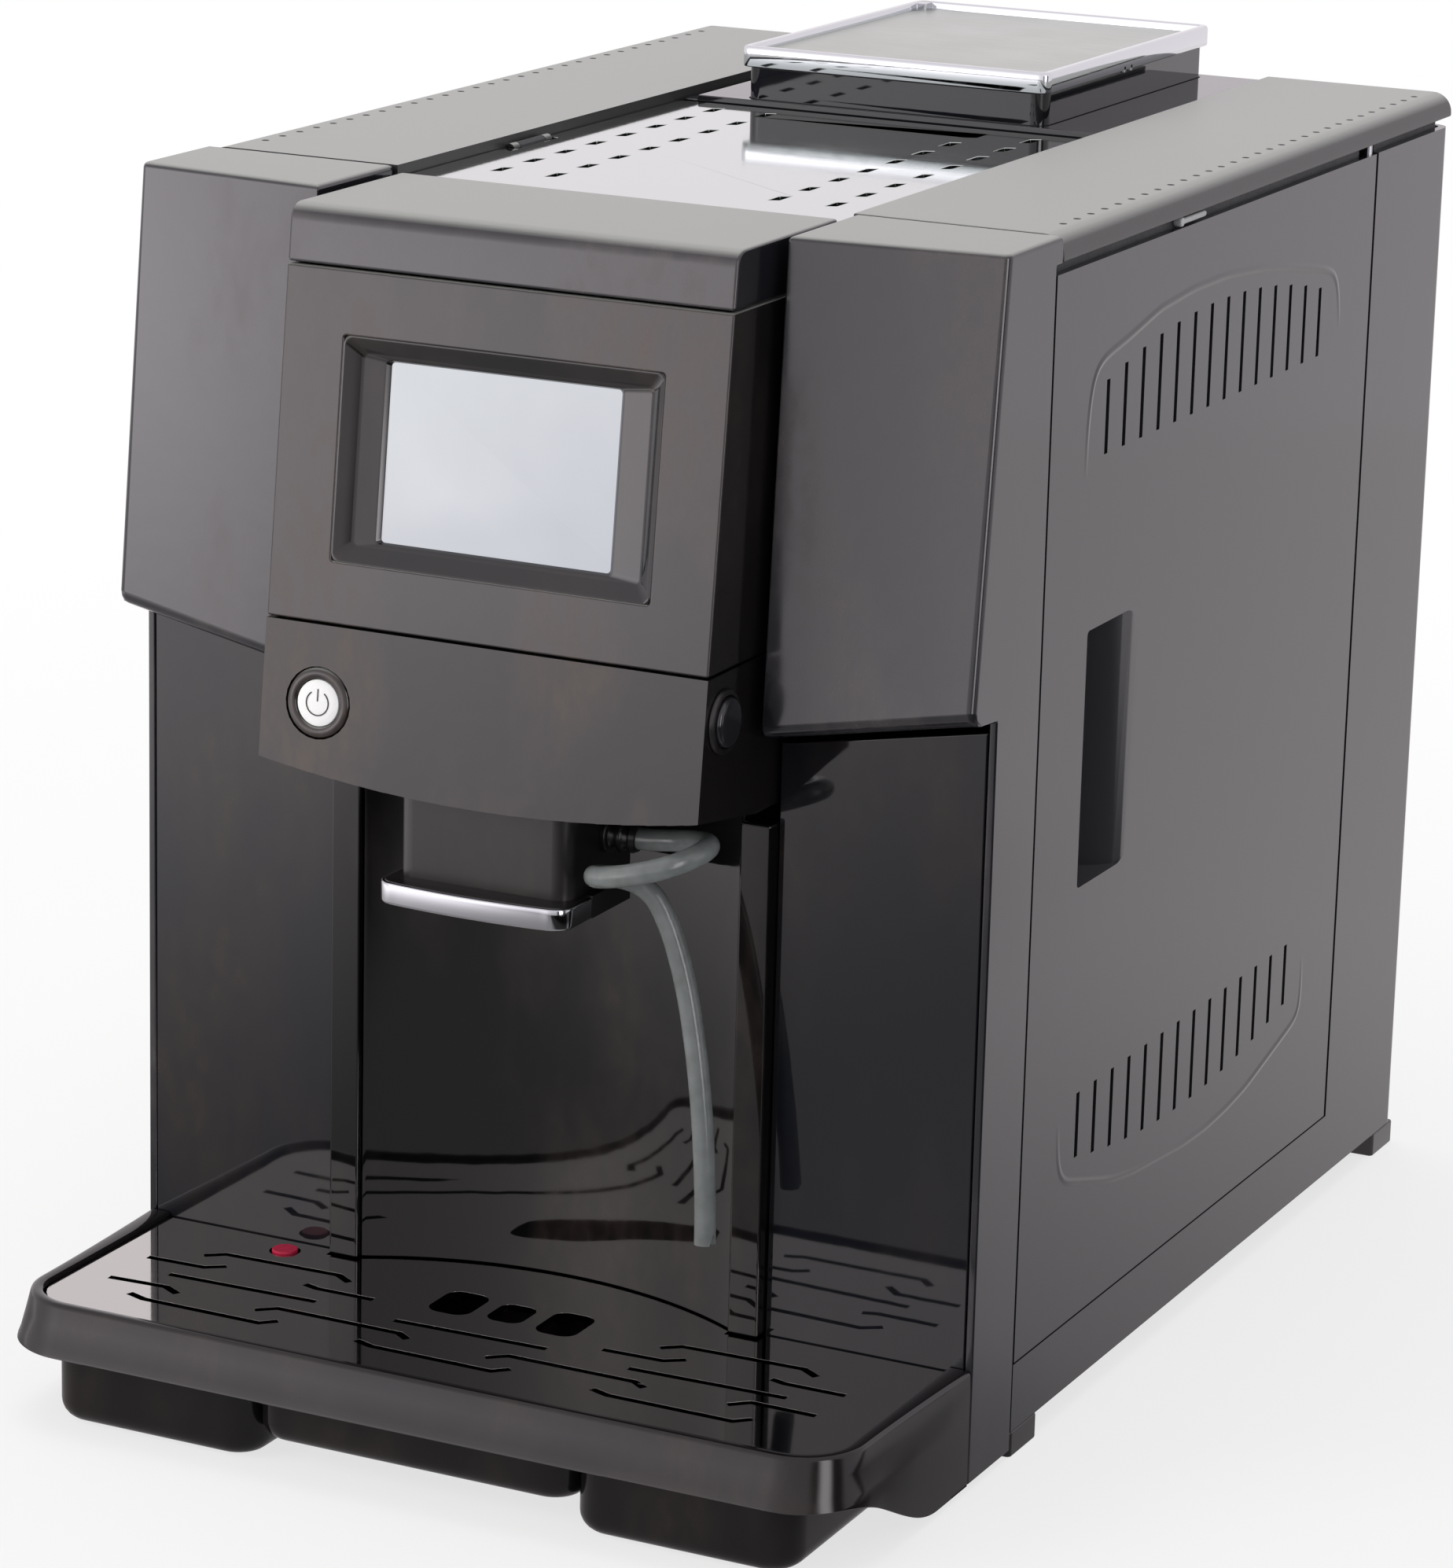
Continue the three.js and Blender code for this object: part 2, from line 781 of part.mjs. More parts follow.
function makeInlet() {
  const body = block(inletAcross - inletWidth / 2, inletAcross + inletWidth / 2,
    bodyDepth - inletDepth, bodyDepth, inletLevel - inletHeight / 2, inletLevel + inletHeight / 2);
  const socket = block(inletAcross - socketWidth / 2, inletAcross + socketWidth / 2,
    bodyDepth - socketDepth, bodyDepth + overrun,
    inletLevel - socketHeight / 2, inletLevel + socketHeight / 2);
  return piece('power_inlet', cut(body, socket), ...innerBlack);
}

// Wing: its front leans out to a low lip, and its underside runs back to the lower panel
function wingOutline(share, grow) {
  const front = (a, b) => -(a + (b - a) * share) + grow;
  const inner = wingInner + grow;
  const outer = side - grow;
  const corner = wingCorner - Math.min(grow, wingCorner / 2);
  const back = grow > 0 ? topStart + overrun : topStart - seat;
  const innerFront = front(wingInnerFront, wingInnerFoot);
  const outerFront = front(wingOuterFront, wingOuterFoot);
  const bend = arc(outer - corner, outerFront + corner, corner, -Math.PI / 2, 0);
  return [point(inner, back), point(inner, innerFront), ...bend, point(outer, back)];
}

function wingLip(p) {
  const across = (p.x - wingInner) / (side - wingInner);
  const front = -(wingInnerFoot + (wingOuterFoot - wingInnerFoot) * across);
  const along = Math.min(Math.max((p.y - front) / (panelFront - front), 0), 1);
  return wingInnerLip + (wingOuterLip - wingInnerLip) * across - wingUndercut * along;
}

function wingSolid(grow) {
  const steps = grow > 0 ? [0] : [0, 1, 2, 3];
  const rings = steps.map((step) => {
    const angle = (steps.length > 1 ? step / (steps.length - 1) : 1) * Math.PI / 2;
    const pull = wingLipRadius * (1 - Math.sin(angle));
    const rise = wingLipRadius * (1 - Math.cos(angle));
    const outline = wingOutline(1, grow).map((p) => point(
      Math.min(p.x, side - grow), p.y < 0 ? Math.min(p.y + pull, 0) : p.y,
    ));
    return lift(outline, (p) => wingLip(p) + rise + grow);
  });
  rings.push(lift(wingOutline(0, grow), () => deckTop - grow));
  return loft(rings);
}

function makeFascia(name, mirrored) {
  const strip = block(side - wall, side, panelFront, -seat, skirtClearance, wingOuterLip + wingLipRadius);
  const whole = cut(
    join(cut(wingSolid(0), wingSolid(wall)), strip),
    block(wingInner - overrun, side + overrun, -seat, bodyDepth, 0, deckFoot - seat),
    block(wingInner + wall, side - wall, panelFront, bodyDepth, 0, wingInnerLip + wall),
  );
  const half = piece(name, mirrored ? mirror(whole) : whole, ...pianoBlack);
  return half;
}

// The same solid on the machine's other side
function mirror(shape) {
  const mesh = shape.getMesh();
  const places = Float32Array.from(mesh.vertProperties, (value, i) => (i % 3 === 0 ? -value : value));
  const geometry = new THREE.BufferGeometry();
  geometry.setAttribute('position', new THREE.BufferAttribute(places, 3));
  geometry.setIndex(new THREE.BufferAttribute(mesh.triVerts, 1));
  return outward(geometry);
}

function makeLowerFront(name, mirrored) {
  const inner = bayHalf + seat;
  const outer = side - wall - seat;
  const topAt = (x) => wingLip(point(x, panelFront)) - seat * 2;
  const outline = [
    point(inner, skirtClearance), point(outer, skirtClearance), point(outer, topAt(outer)),
    point(Math.max(wingInner, inner + wall), topAt(wingInner)), point(inner, topAt(wingInner)),
  ];
  const panel = prism(outline, 'y', panelFront, panelBack);
  return piece(name, mirrored ? mirror(panel) : panel, ...pianoBlack);
}

// Bay panel: two flat bands with a hollow wall between them that runs up into the head
function makeBayPanel() {
  const front = bayArc(bayRadius);
  const back = bayArc(bayRadius + wall).reverse();
  const hollow = [...front, ...back];
  const right = [
    point(bayChord, chordBack), point(bayChord, bandFront), point(bayHalf, bandFront),
    point(bayHalf, panelBack), point(bayHalf - wall, panelBack), point(bayHalf - wall, bandFront + wall),
    point(back[0].x + wall / 2, bandFront + wall), back[0],
  ];
  const left = right.map((p) => point(-p.x, p.y)).reverse();
  const panel = join(
    prism(hollow, 'z', bayFoot, bayTop),
    prism(right, 'z', bayFoot, bandTop),
    prism(left, 'z', bayFoot, bandTop),
  );
  return piece('brew_bay_panel', panel, ...pianoBlack);
}

// The head's solid form, whose underside is arched in front
function headSolid(grow) {
  const low = headFoot - overrun;
  const top = headTop - grow;
  const lean = (level) => headFrontAt(level) + grow / Math.cos(headLean);
  const edge = Math.max(headEdgeRadius - grow, seat);
  const back = grow > 0 ? headRear + overrun : headRear;
  const round = arc(lean(top - edge) + edge, top - edge, edge, Math.PI, Math.PI / 2);
  const outline = [point(lean(low), low), ...round, point(back, top), point(back, low)];
  return prism(outline, 'x', -headHalf + grow, headHalf - grow);
}

// What lies under the head: its upper side is an arch in front that dies away to the back
function archCutter(rise) {
  const half = headHalf + overrun;
  const ringAt = (y, height) => {
    const curve = arc(0, 0, 1, Math.PI, 0, archSteps).map((p) => {
      const x = half * p.x;
      return new THREE.Vector3(x, headFoot + rise + height * (x / headHalf) ** 2, -y);
    });
    const low = headFoot - overrun * 4;
    return [...curve, new THREE.Vector3(half, low, -y), new THREE.Vector3(-half, low, -y)];
  };
  const flatFrom = -headNose + headArchRun;
  const lying = loft([
    ringAt(headRear + overrun * 2, seat), ringAt(flatFrom, seat),
    ringAt(-headNose - overrun, headArch * (headArchRun + overrun) / headArchRun),
  ]);
  return upright(lying);
}

// A solid drawn lying on its back is stood up: its y becomes z and its z runs to the front
function upright(shape) {
  const mesh = shape.getMesh();
  const geometry = new THREE.BufferGeometry();
  geometry.setAttribute('position', new THREE.BufferAttribute(mesh.vertProperties, 3));
  geometry.setIndex(new THREE.BufferAttribute(mesh.triVerts, 1));
  geometry.rotateX(Math.PI / 2);
  return outward(geometry);
}

function headSlab(low, high) {
  return block(-headHalf - overrun, headHalf + overrun, -headNose - overrun * 4, headRear + overrun,
    low, high);
}

function makeHead() {
  const arched = cut(headSolid(0), archCutter(0));
  const cavity = cut(headSolid(wall), archCutter(wall));
  const behindArc = [
    point(-bayChord - wall, headRear + overrun), point(-bayChord - wall, chordBack - seat),
    ...bayArc(bayRadius - seat * 2),
    point(bayChord + wall, chordBack - seat), point(bayChord + wall, headRear + overrun),
  ];
  const behindFloor = block(-headHalf + wall, headHalf - wall, panelFront, headRear + overrun,
    headFoot - overrun, headFoot + wall + seat);
  const spoutHole = prism(roundedBox(-spoutHalf - wall / 2, spoutHalf + wall / 2,
    spoutFront - wall / 2, spoutBack + wall / 2, spoutCorner, spoutCorner, 0, 0),
  'z', headFoot - overrun, headFoot + headArch);
  const neckHole = block(-neckWidth / 2 - wall / 2, neckWidth / 2 + wall / 2, spoutBack, headRear,
    headFoot - overrun, headFoot + wall + seat);
  const whole = cut(arched, cavity, prism(behindArc, 'z', headFoot - overrun, headFoot + wall + seat),
    behindFloor, spoutHole, neckHole);
  const gap = panelSeam / 2;
  const cap = whole.intersect(headSlab(capSeam + gap, headTop + overrun));
  const bezelHole = onFront(new THREE.BoxGeometry(bezelWidth + seat * 2, overrun * 3, bezelHeight + seat * 2),
    capSeam - bezelCentre);
  const display = cut(whole.intersect(headSlab(buttonSeam + gap, capSeam - gap)), bezelHole);
  const ringHole = onFront(rodGeometry('y', [-buttonAcross, 0], ringRadius + seat, -overrun, overrun * 2),
    headFoot + buttonLevel);
  const shaftHole = rod('x', [-knobBack, headFoot + knobLevel], knobShaft + seat,
    headHalf - wall - overrun, headHalf + overrun, smallSides);
  const buttons = cut(whole.intersect(headSlab(headFoot - overrun, buttonSeam - gap)), ringHole, shaftHole);
  return [
    piece('head_cap', cap, ...pianoBlack),
    piece('display_housing', display, ...pianoBlack),
    piece('button_housing', buttons, ...pianoBlack),
  ];
}

const spoutHalf = spoutWidth / 2;

// Screen, its bezel and its board, in the plane of the head's front
function makeScreen() {
  const halfWidth = bezelWidth / 2;
  const halfHeight = bezelHeight / 2;
  const frame = cut(
    block(-halfWidth, halfWidth, 0, bezelDepth, -halfHeight, halfHeight),
    block(-halfWidth + thinWall, halfWidth - thinWall, -overrun, bezelLedge,
      -halfHeight + thinWall, halfHeight - thinWall),
    block(-screenWidth / 2 - bezelStep / 2, screenWidth / 2 + bezelStep / 2, -overrun, bezelDepth + overrun,
      -screenHeight / 2 - bezelStep / 4, screenHeight / 2 + bezelStep / 4),
  );
  const inner = [screenWidth / 2 + bezelStep / 2 - seat, screenHeight / 2 + bezelStep / 4 - seat];
  const screen = block(-inner[0], inner[0], screenDrop, screenDrop + screenThickness, -inner[1], inner[1]);
  const boardFront = screenDrop + screenThickness + seat;
  const board = join(
    block(-inner[0], inner[0], boardFront, boardFront + boardThickness, -inner[1], inner[1]),
    block(-inner[0] / 2, 0, boardFront, boardFront + boardThickness + thinWall, -inner[1] / 2, inner[1] / 2),
  );
  return frontGroup(
    capSeam - bezelCentre,
    piece('screen_bezel', frame, ...satinBlack),
    piece('touch_screen', screen, ...screenGrey),
    piece('display_board', board, ...boardGreen),
  );
}

function makeButton() {
  const centre = [-buttonAcross, 0];
  const ring = cut(
    join(
      rod('y', centre, ringRadius, 0, ringDepth),
      rod('y', centre, ringRadius + ringFlange, wall + seat, ringDepth),
    ),
    rod('y', centre, buttonRadius + seat, -overrun, ringDepth - thinWall),
    rod('y', centre, buttonStem + seat, 0, ringDepth + overrun, smallSides),
  );
  const button = join(
    rod('y', centre, buttonRadius, seat, seat + buttonLength),
    rod('y', centre, buttonStem, seat + buttonLength / 2, ringDepth, smallSides),
  );
  return frontGroup(
    headFoot + buttonLevel,
    piece('button_ring', ring, ...satinBlack),
    piece('power_button', button, ...satinBlack),
  );
}

function makeKnob() {
  const level = headFoot + knobLevel;
  const centre = [-knobBack, level];
  const face = headHalf + seat;
  const collar = cut(
    rod('x', centre, collarRadius, face, face + collarHeight),
    rod('x', centre, knobRadius + seat, face - overrun, face + collarHeight + overrun),
  );
  const dome = knobDomeShares.map(([across, up]) => point(knobRadius * across, knobLength * up));
  const shaftEnd = -wall - valveLength / 3;
  const profile = [
    point(0, knobLength), ...dome, point(knobRadius, 0), point(knobShaft, 0),
    point(knobShaft, shaftEnd), point(0, shaftEnd),
  ];
  const knob = piece('froth_knob', turned(profile, 0, 0), ...satinBlack);
  knob.position.set(face, centre[0], centre[1]);
  knob.rotation.y = Math.PI / 2;
  const back = headHalf - wall - seat;
  const valve = cut(
    join(
      rod('x', centre, valveRadius, back - valveLength, back),
      rod('z', [back - valveLength / 2, centre[0]], portRadius,
        level + valveRadius / 2, buttonSeam - wall, smallSides),
    ),
    rod('x', centre, knobShaft + runningGap, back - valveLength / 2, back + overrun, smallSides),
  );
  return group(
    piece('knob_collar', collar, ...satinBlack),
    knob,
    piece('steam_valve', valve, ...steel),
  );
}

// Top frame: the plate that carries both decks, the cup plate and the hopper
function makeTopFrame() {
  const collar = hopperInner();
  const slab = prism(roundedBox(-side + wall + seat, side - wall - seat, headRear + seat,
    bodyDepth - wall - seat, 0, 0, cornerRadius, cornerRadius), 'z', frameFoot, frameTop);
  const half = plateHalf - platformMargin;
  const platform = block(-half, half, topStart + platformMargin, topStart + plateLength - platformMargin,
    frameTop - seat, plateTop - plateThickness - seat);
  const tankOpening = block(tankOuter - tankOpeningMargin, tankInner + tankOpeningMargin,
    tankStart - tankOpeningMargin, tankStart + tankLength + tankOpeningMargin,
    frameFoot - overrun, frameTop + overrun);
  const hopperOpening = prism(collar, 'z', frameFoot - overrun, frameTop + overrun);
  const hingeNotch = block(side - hingeBead * 2, side, doorBack - hingeBead * 2, rearPillar + wall,
    frameFoot - overrun, frameTop + overrun);
  const whole = cut(join(slab, platform), tankOpening, hopperOpening, hingeNotch);
  return piece('top_frame', whole, ...innerBlack);
}

function hopperInner() {
  const half = hopperHalf - hopperCollar;
  return roundedBox(-half, half, hopperFront + hopperCollar, hopperBack - hopperCollar, hopperCorner / 2);
}

function deckSolid() {
  const outline = roundedBox(deckInner, side, deckFoot, deckTop, 0, 0, deckEdgeRadius, 0);
  const hollow = block(deckInner + deckBorder / 2, side - deckBorder,
    topStart + deckBorder, bodyDepth - deckBorder, deckFoot - overrun, deckTop - wall);
  return cut(prism(outline, 'y', topStart, bodyDepth), hollow);
}

function makeRightDeck() {
  const pinHole = rod('z', hingeLine, hingePinRadius + runningGap, deckFoot - overrun,
    deckFoot + hingePinBite / 2 + seat, smallSides);
  const clipBack = side - wall - seat + clipWidth;
  const clip = join(
    block(side - wall - seat + runningGap, clipBack + runningGap, clipStart, clipStart + clipLength,
      deckFoot - seat - clipHeight, deckFoot - seat),
  );
  return [
    piece('right_deck', cut(deckSolid(), pinHole), ...satinBlack),
    piece('deck_clip', clip, ...paleGrey),
  ];
}

// The left deck is the water tank's lid. It turns on a pin held by a tab on the tank.
const tabFront = hingeTabStart;
const tabBack = hingeTabStart + hingeTabLength;
const lidPin = [-deckInner + hingeOut, deckTop - hingeLevel];

function makeTankLid() {
  const deck = mirror(deckSolid());
  const lugs = [tabFront - seat - hingeLugLength, tabBack + seat].map((start) => join(
    rod('y', lidPin, hingeKnuckle, start, start + hingeLugLength, smallSides),
    block(-deckInner - wall, lidPin[0], start, start + hingeLugLength,
      lidPin[1] - hingeKnuckle, lidPin[1] + hingeKnuckle / 2),
  ));
  const notch = block(-deckInner - deckBorder, -deckInner + overrun, tabFront - seat, tabBack + seat,
    deckFoot - overrun, deckTop - wall);
  const bore = rod('y', lidPin, hingeRod + runningGap, tabFront - hingeLugLength - overrun,
    tabBack + hingeLugLength + overrun, smallSides);
  const lid = cut(join(deck, ...lugs), notch, bore);
  const tankTop = tankFoot + tankHeight;
  const tab = cut(
    join(
      rod('y', lidPin, hingeKnuckle, tabFront, tabBack, smallSides),
      block(tankInner - thinWall, lidPin[0], tabFront, tabBack, lidPin[1] - hingeKnuckle, lidPin[1] + seat),
      block(tankInner - thinWall, tankInner, tabFront, tabBack, tankTop + seat, lidPin[1]),
    ),
    bore,
  );
  const pin = rod('y', lidPin, hingeRod, tabFront - hingeLugLength, tabBack + hingeLugLength, smallSides);
  return [
    piece('left_deck', lid, ...satinBlack),
    piece('lid_hinge_tab', tab, ...innerBlack),
    piece('lid_hinge_pin', pin, ...chromed),
  ];
}

// Cup plate: a bright sheet with four rows of skewed slots
function makeCupPlate() {
  const outline = roundedBox(-plateHalf, plateHalf, topStart, topStart + plateLength, plateCorner);
  const sheet = prism(outline, 'z', plateTop - plateThickness, plateTop);
  const slots = [];
  for (const x of [-slotOuterRow, -slotInnerRow, slotInnerRow, slotOuterRow]) {
    for (let i = 0; i < slotRows; i += 1) {
      const y = topStart + slotFirst + i * slotPitch;
      const skew = slotSkew;
      const slot = [
        point(x - slotWidth / 2, y - slotLength / 2), point(x + slotWidth / 2, y - slotLength / 2 + skew),
        point(x + slotWidth / 2, y + slotLength / 2), point(x - slotWidth / 2, y + slotLength / 2 - skew),
      ];
      slots.push(prism(slot, 'z', plateTop - plateThickness - overrun, plateTop + overrun));
    }
  }
  const hingeNotch = block(-plateHalf - overrun, lidPin[0] + hingeKnuckle + hingeRelief,
    tabFront - hingeLugLength - hingeRelief, tabBack + hingeLugLength + hingeRelief,
    plateTop - plateThickness - overrun, plateTop + overrun);
  return piece('cup_plate', cut(sheet, ...slots, hingeNotch), ...chromed);
}

// Rear deck, hopper collar, hopper and lid
function makeHopper() {
  const half = hopperHalf;
  const swing = lidPin[0] + Math.hypot(hingeOut, hingeLevel) + seat;
  const rearDeck = cut(
    block(-plateHalf, plateHalf, rearDeckFront, bodyDepth, deckFoot, deckTop - rearDeckDrop),
    block(-plateHalf - overrun, swing, rearDeckFront - overrun, bodyDepth + overrun,
      lidPin[1] + hingeOut - seat, deckTop),
    prism(roundedBox(-half - seat, half + seat, hopperFront - seat, hopperBack + seat, hopperCorner),
      'z', deckFoot - overrun, deckTop + overrun),
  );
  const collarTop = deckTop + hopperRise;
  const collar = cut(
    prism(roundedBox(-half, half, hopperFront, hopperBack, hopperCorner), 'z', deckFoot, collarTop),
    prism(hopperInner(), 'z', deckFoot - overrun, collarTop + overrun),
  );
  const lidFoot = collarTop + seat;
  const lidTop = lidFoot + lidHeight;
  const out = lidOverhang;
  const plug = hopperCollar + thinWall + seat * 2;
  const lid = cut(
    join(
      prism(roundedBox(-half - out, half + out, hopperFront - out, hopperBack + out, hopperCorner + out),
        'z', lidFoot, lidTop),
      prism(roundedBox(-half + plug, half - plug, hopperFront + plug, hopperBack - plug, thinWall),
        'z', lidFoot - lidPlug, lidFoot + seat),
    ),
    prism(roundedBox(-half - out + lidInset, half + out - lidInset, hopperFront - out + lidInset,
      hopperBack + out - lidInset, hopperCorner), 'z', lidTop - lidRecess, lidTop + overrun),
    prism(roundedBox(-half + plug + thinWall, half - plug - thinWall, hopperFront + plug + thinWall,
      hopperBack - plug - thinWall, thinWall / 2), 'z', lidFoot - lidPlug - overrun, lidFoot + seat),
  );
  return [
    piece('rear_deck', rearDeck, ...pianoBlack),
    piece('hopper_base', collar, ...pianoBlack),
    makeBeanHopper(collarTop),
    piece('hopper_lid', lid, ...chromed),
  ];
}

// Funnel: a rounded rectangle above that narrows to a round throat
function funnel(grow, top, low) {
  const half = hopperHalf - hopperCollar - seat - grow;
  const front = hopperFront + hopperCollar + seat + grow;
  const back = hopperBack - hopperCollar - seat - grow;
  const corner = hopperCorner / 2;
  const ringAt = (level) => {
    const corners = [[half, back], [-half, back], [-half, front], [half, front]];
    const places = corners.flatMap(([x, y], quarter) => arc(
      x - Math.sign(x) * corner, y + (y === back ? -corner : corner), corner,
      quarter * Math.PI / 2, (quarter + 1) * Math.PI / 2, cornerSteps - 1,
    ));
    return lift(places, () => level);
  };
  const circle = (level) => {
    const places = [0, 1, 2, 3].flatMap((quarter) => arc(
      0, hopperMiddle, throatRadius - grow,
      ...throatArcShares.map((share) => (quarter + share) * Math.PI / 2), cornerSteps - 1,
    ));
    return lift(places, () => level);
  };
  const shoulder = frameTop + wall;
  const extra = grow > 0 ? overrun : 0;
  return loft([
    circle(low - extra), circle(low + throatRadius / 2), ringAt(shoulder), ringAt(top + extra),
  ]);
}

function makeBeanHopper(collarTop) {
  const low = grinderTop + seat;
  const whole = cut(funnel(0, collarTop - seat, low), funnel(thinWall, collarTop - seat, low));
  return piece('bean_hopper', whole, ...clearGrey);
}

// Coffee spout with its bright band, rail, milk nozzle and hose
function makeSpout() {
  const top = spoutFoot + spoutHeight;
  const outer = roundedBox(-spoutHalf, spoutHalf, spoutFront, spoutBack,
    spoutCorner, spoutCorner, seat, seat);
  const shoulder = headFoot + headArch + wall;
  const trunk = join(
    prism(outer, 'z', spoutFoot, shoulder),
    prism(roundedBox(-spoutHalf, spoutHalf, spoutFront + wall, spoutBack,
      spoutCorner, spoutCorner, seat, seat), 'z', spoutFoot, top),
  );
  const hollow = block(-spoutHalf + wall, spoutHalf - wall, spoutFront + wall * 2, spoutBack - wall,
    spoutFoot + bandHeight, top + overrun);
  const flangeFront = spoutFront - bandProud + bandLength + seat;
  const flange = block(-spoutHalf - bandSide, spoutHalf + bandSide, flangeFront, flangeFront + flangeDepth,
    spoutFoot, spoutFoot + bandHeight);
  const outlets = [-outletSpread, outletSpread].map((x) => (
    rod('z', [x, spoutFront + outletSpread * 2], outletRadius,
      spoutFoot - outletLength, spoutFoot + seat, smallSides)
  ));
  const bores = [-outletSpread, outletSpread].map((x) => (
    rod('z', [x, spoutFront + outletSpread * 2], outletBore, spoutFoot - outletLength - overrun,
      spoutFoot + bandHeight + overrun, smallSides)
  ));
  const neck = block(-neckWidth / 2, neckWidth / 2, spoutBack - wall, railFront - seat,
    top - neckHeight, top);
  const body = cut(join(trunk, flange, ...outlets), hollow, ...bores);
  const bandOuter = roundedBox(-spoutHalf - bandSide, spoutHalf + bandSide, spoutFront - bandProud,
    spoutFront - bandProud + bandLength, spoutCorner, spoutCorner, 0, 0);
  const bandInner = roundedBox(-spoutHalf - seat, spoutHalf + seat, spoutFront - seat,
    spoutFront + bandLength, spoutCorner, spoutCorner, 0, 0);
  const band = cut(
    prism(bandOuter, 'z', spoutFoot, spoutFoot + bandHeight),
    prism(bandInner, 'z', spoutFoot - overrun, spoutFoot + bandHeight + overrun),
  );
  return [
    piece('spout_body', join(body, neck), ...satinBlack),
    piece('spout_band', band, ...chromed),
    makeMilkNozzle(),
    makeHose(),
  ];
}

const railBack = bayCentre + bayRadius - seat * 2;
const railFront = railBack - railDepth;

function makeRail() {
  const rail = cut(
    block(-railWidth / 2, railWidth / 2, railFront, railBack, spoutFoot, spoutFoot + railHeight),
    block(-railWidth / 4, railWidth / 4, railFront - overrun, railFront + thinWall,
      spoutFoot + railDepth, spoutFoot + railHeight - railDepth),
  );
  return piece('spout_rail', rail, ...steel);
}

function makeMilkNozzle() {
  const [flangeEnd, ringStart, ringEnd, lipStart] = nozzleRingShares.map((share) => nozzleLength * share);
  const profile = [
    point(0, 0), point(nozzleFlange, 0), point(nozzleFlange, flangeEnd), point(nozzleNeck, flangeEnd),
    point(nozzleNeck, ringStart), point(nozzleRing, ringStart), point(nozzleRing, ringEnd),
    point(nozzleNeck, ringEnd), point(nozzleNeck, lipStart), point(nozzleRing, lipStart),
    point(nozzleRing, nozzleLength), point(0, nozzleLength),
  ];
  const nozzle = piece('milk_nozzle', turned(profile, 0, 0, middleSides), ...satinBlack);
  nozzle.position.set(spoutHalf + seat, spoutFront + nozzleBack, spoutFoot + nozzleLevel);
  nozzle.rotation.y = Math.PI / 2;
  return nozzle;
}

// Milk hose: out of the nozzle, one loop, then down to a bare end above the tray
const hoseRoute = [
  [38.3, -51, 189], [43, -51, 189.3], [49, -51, 190], [55.5, -52.6, 191.2], [61.5, -56.3, 192.6],
  [66, -62, 193.6], [67.6, -68.6, 193.8], [66, -75.4, 192.8], [61, -81.2, 191], [54, -84.2, 189],
  [46.5, -83.8, 187], [40.2, -80, 185], [36, -74, 183.2], [35.2, -67, 181.4], [37.4, -60.6, 179.6],
  [41.4, -56.6, 177.2], [46, -55.2, 173.2], [50, -55, 166.6], [53.6, -55, 157.6], [57, -55.2, 146],
  [60.2, -55.8, 131], [62.8, -56.6, 115], [64.8, -57.6, 98], [66, -58.6, 84], [66.6, -59.4, 73],
].map(([x, y, z]) => new THREE.Vector3(x, y, z));

function makeHose() {
  const curve = new THREE.CatmullRomCurve3(hoseRoute, false, 'centripetal');
  const ring = arc(0, 0, hoseDiameter / 2, 0, 2 * Math.PI, hoseSides).slice(0, hoseSides);
  const geometry = new THREE.ExtrudeGeometry(new THREE.Shape(ring), {
    steps: hoseSteps, extrudePath: curve, bevelEnabled: false,
  });
  const [length, gap] = [curve.getLength(), leastGap(curve)];
  console.log(`milk hose: length ${length.toFixed(1)}, least gap to itself ${gap.toFixed(2)}`);
  return piece('milk_hose', outward(geometry), ...greySilicone);
}

// The least distance between two stretches of the hose that are more than a loop's half apart
function leastGap(curve) {
  const places = curve.getSpacedPoints(gapSamples);
  const step = curve.getLength() / gapSamples;
  let least = Infinity;
  places.forEach((a, i) => places.forEach((b, j) => {
    if ((j - i) * step > hoseDiameter * 4) least = Math.min(least, a.distanceTo(b) - hoseDiameter);
  }));
  return least;
}

// Drip tray: a rim with a leaning skirt, two deep tubs and a shallow middle
function trayOutline(half, reach, corner, back) {
  return [
    point(half, back), point(-half, back),
    ...arc(-half + corner, -reach + corner, corner, Math.PI, Math.PI * 3 / 2, cornerSteps * 2),
    ...arc(half - corner, -reach + corner, corner, Math.PI * 3 / 2, Math.PI * 2, cornerSteps * 2),
  ];
}

// The bay's arc as the back edge of the tray's tongue and of the grille
function tongue(low, high, inset) {
  const half = bayChord - inset;
  const outline = [
    point(half, trayBack - overrun), point(half, chordBack - inset),
    ...bayArc(bayRadius - inset).reverse(), point(-half, chordBack - inset), point(-half, trayBack - overrun),
  ];
  return prism(outline, 'z', low, high);
}

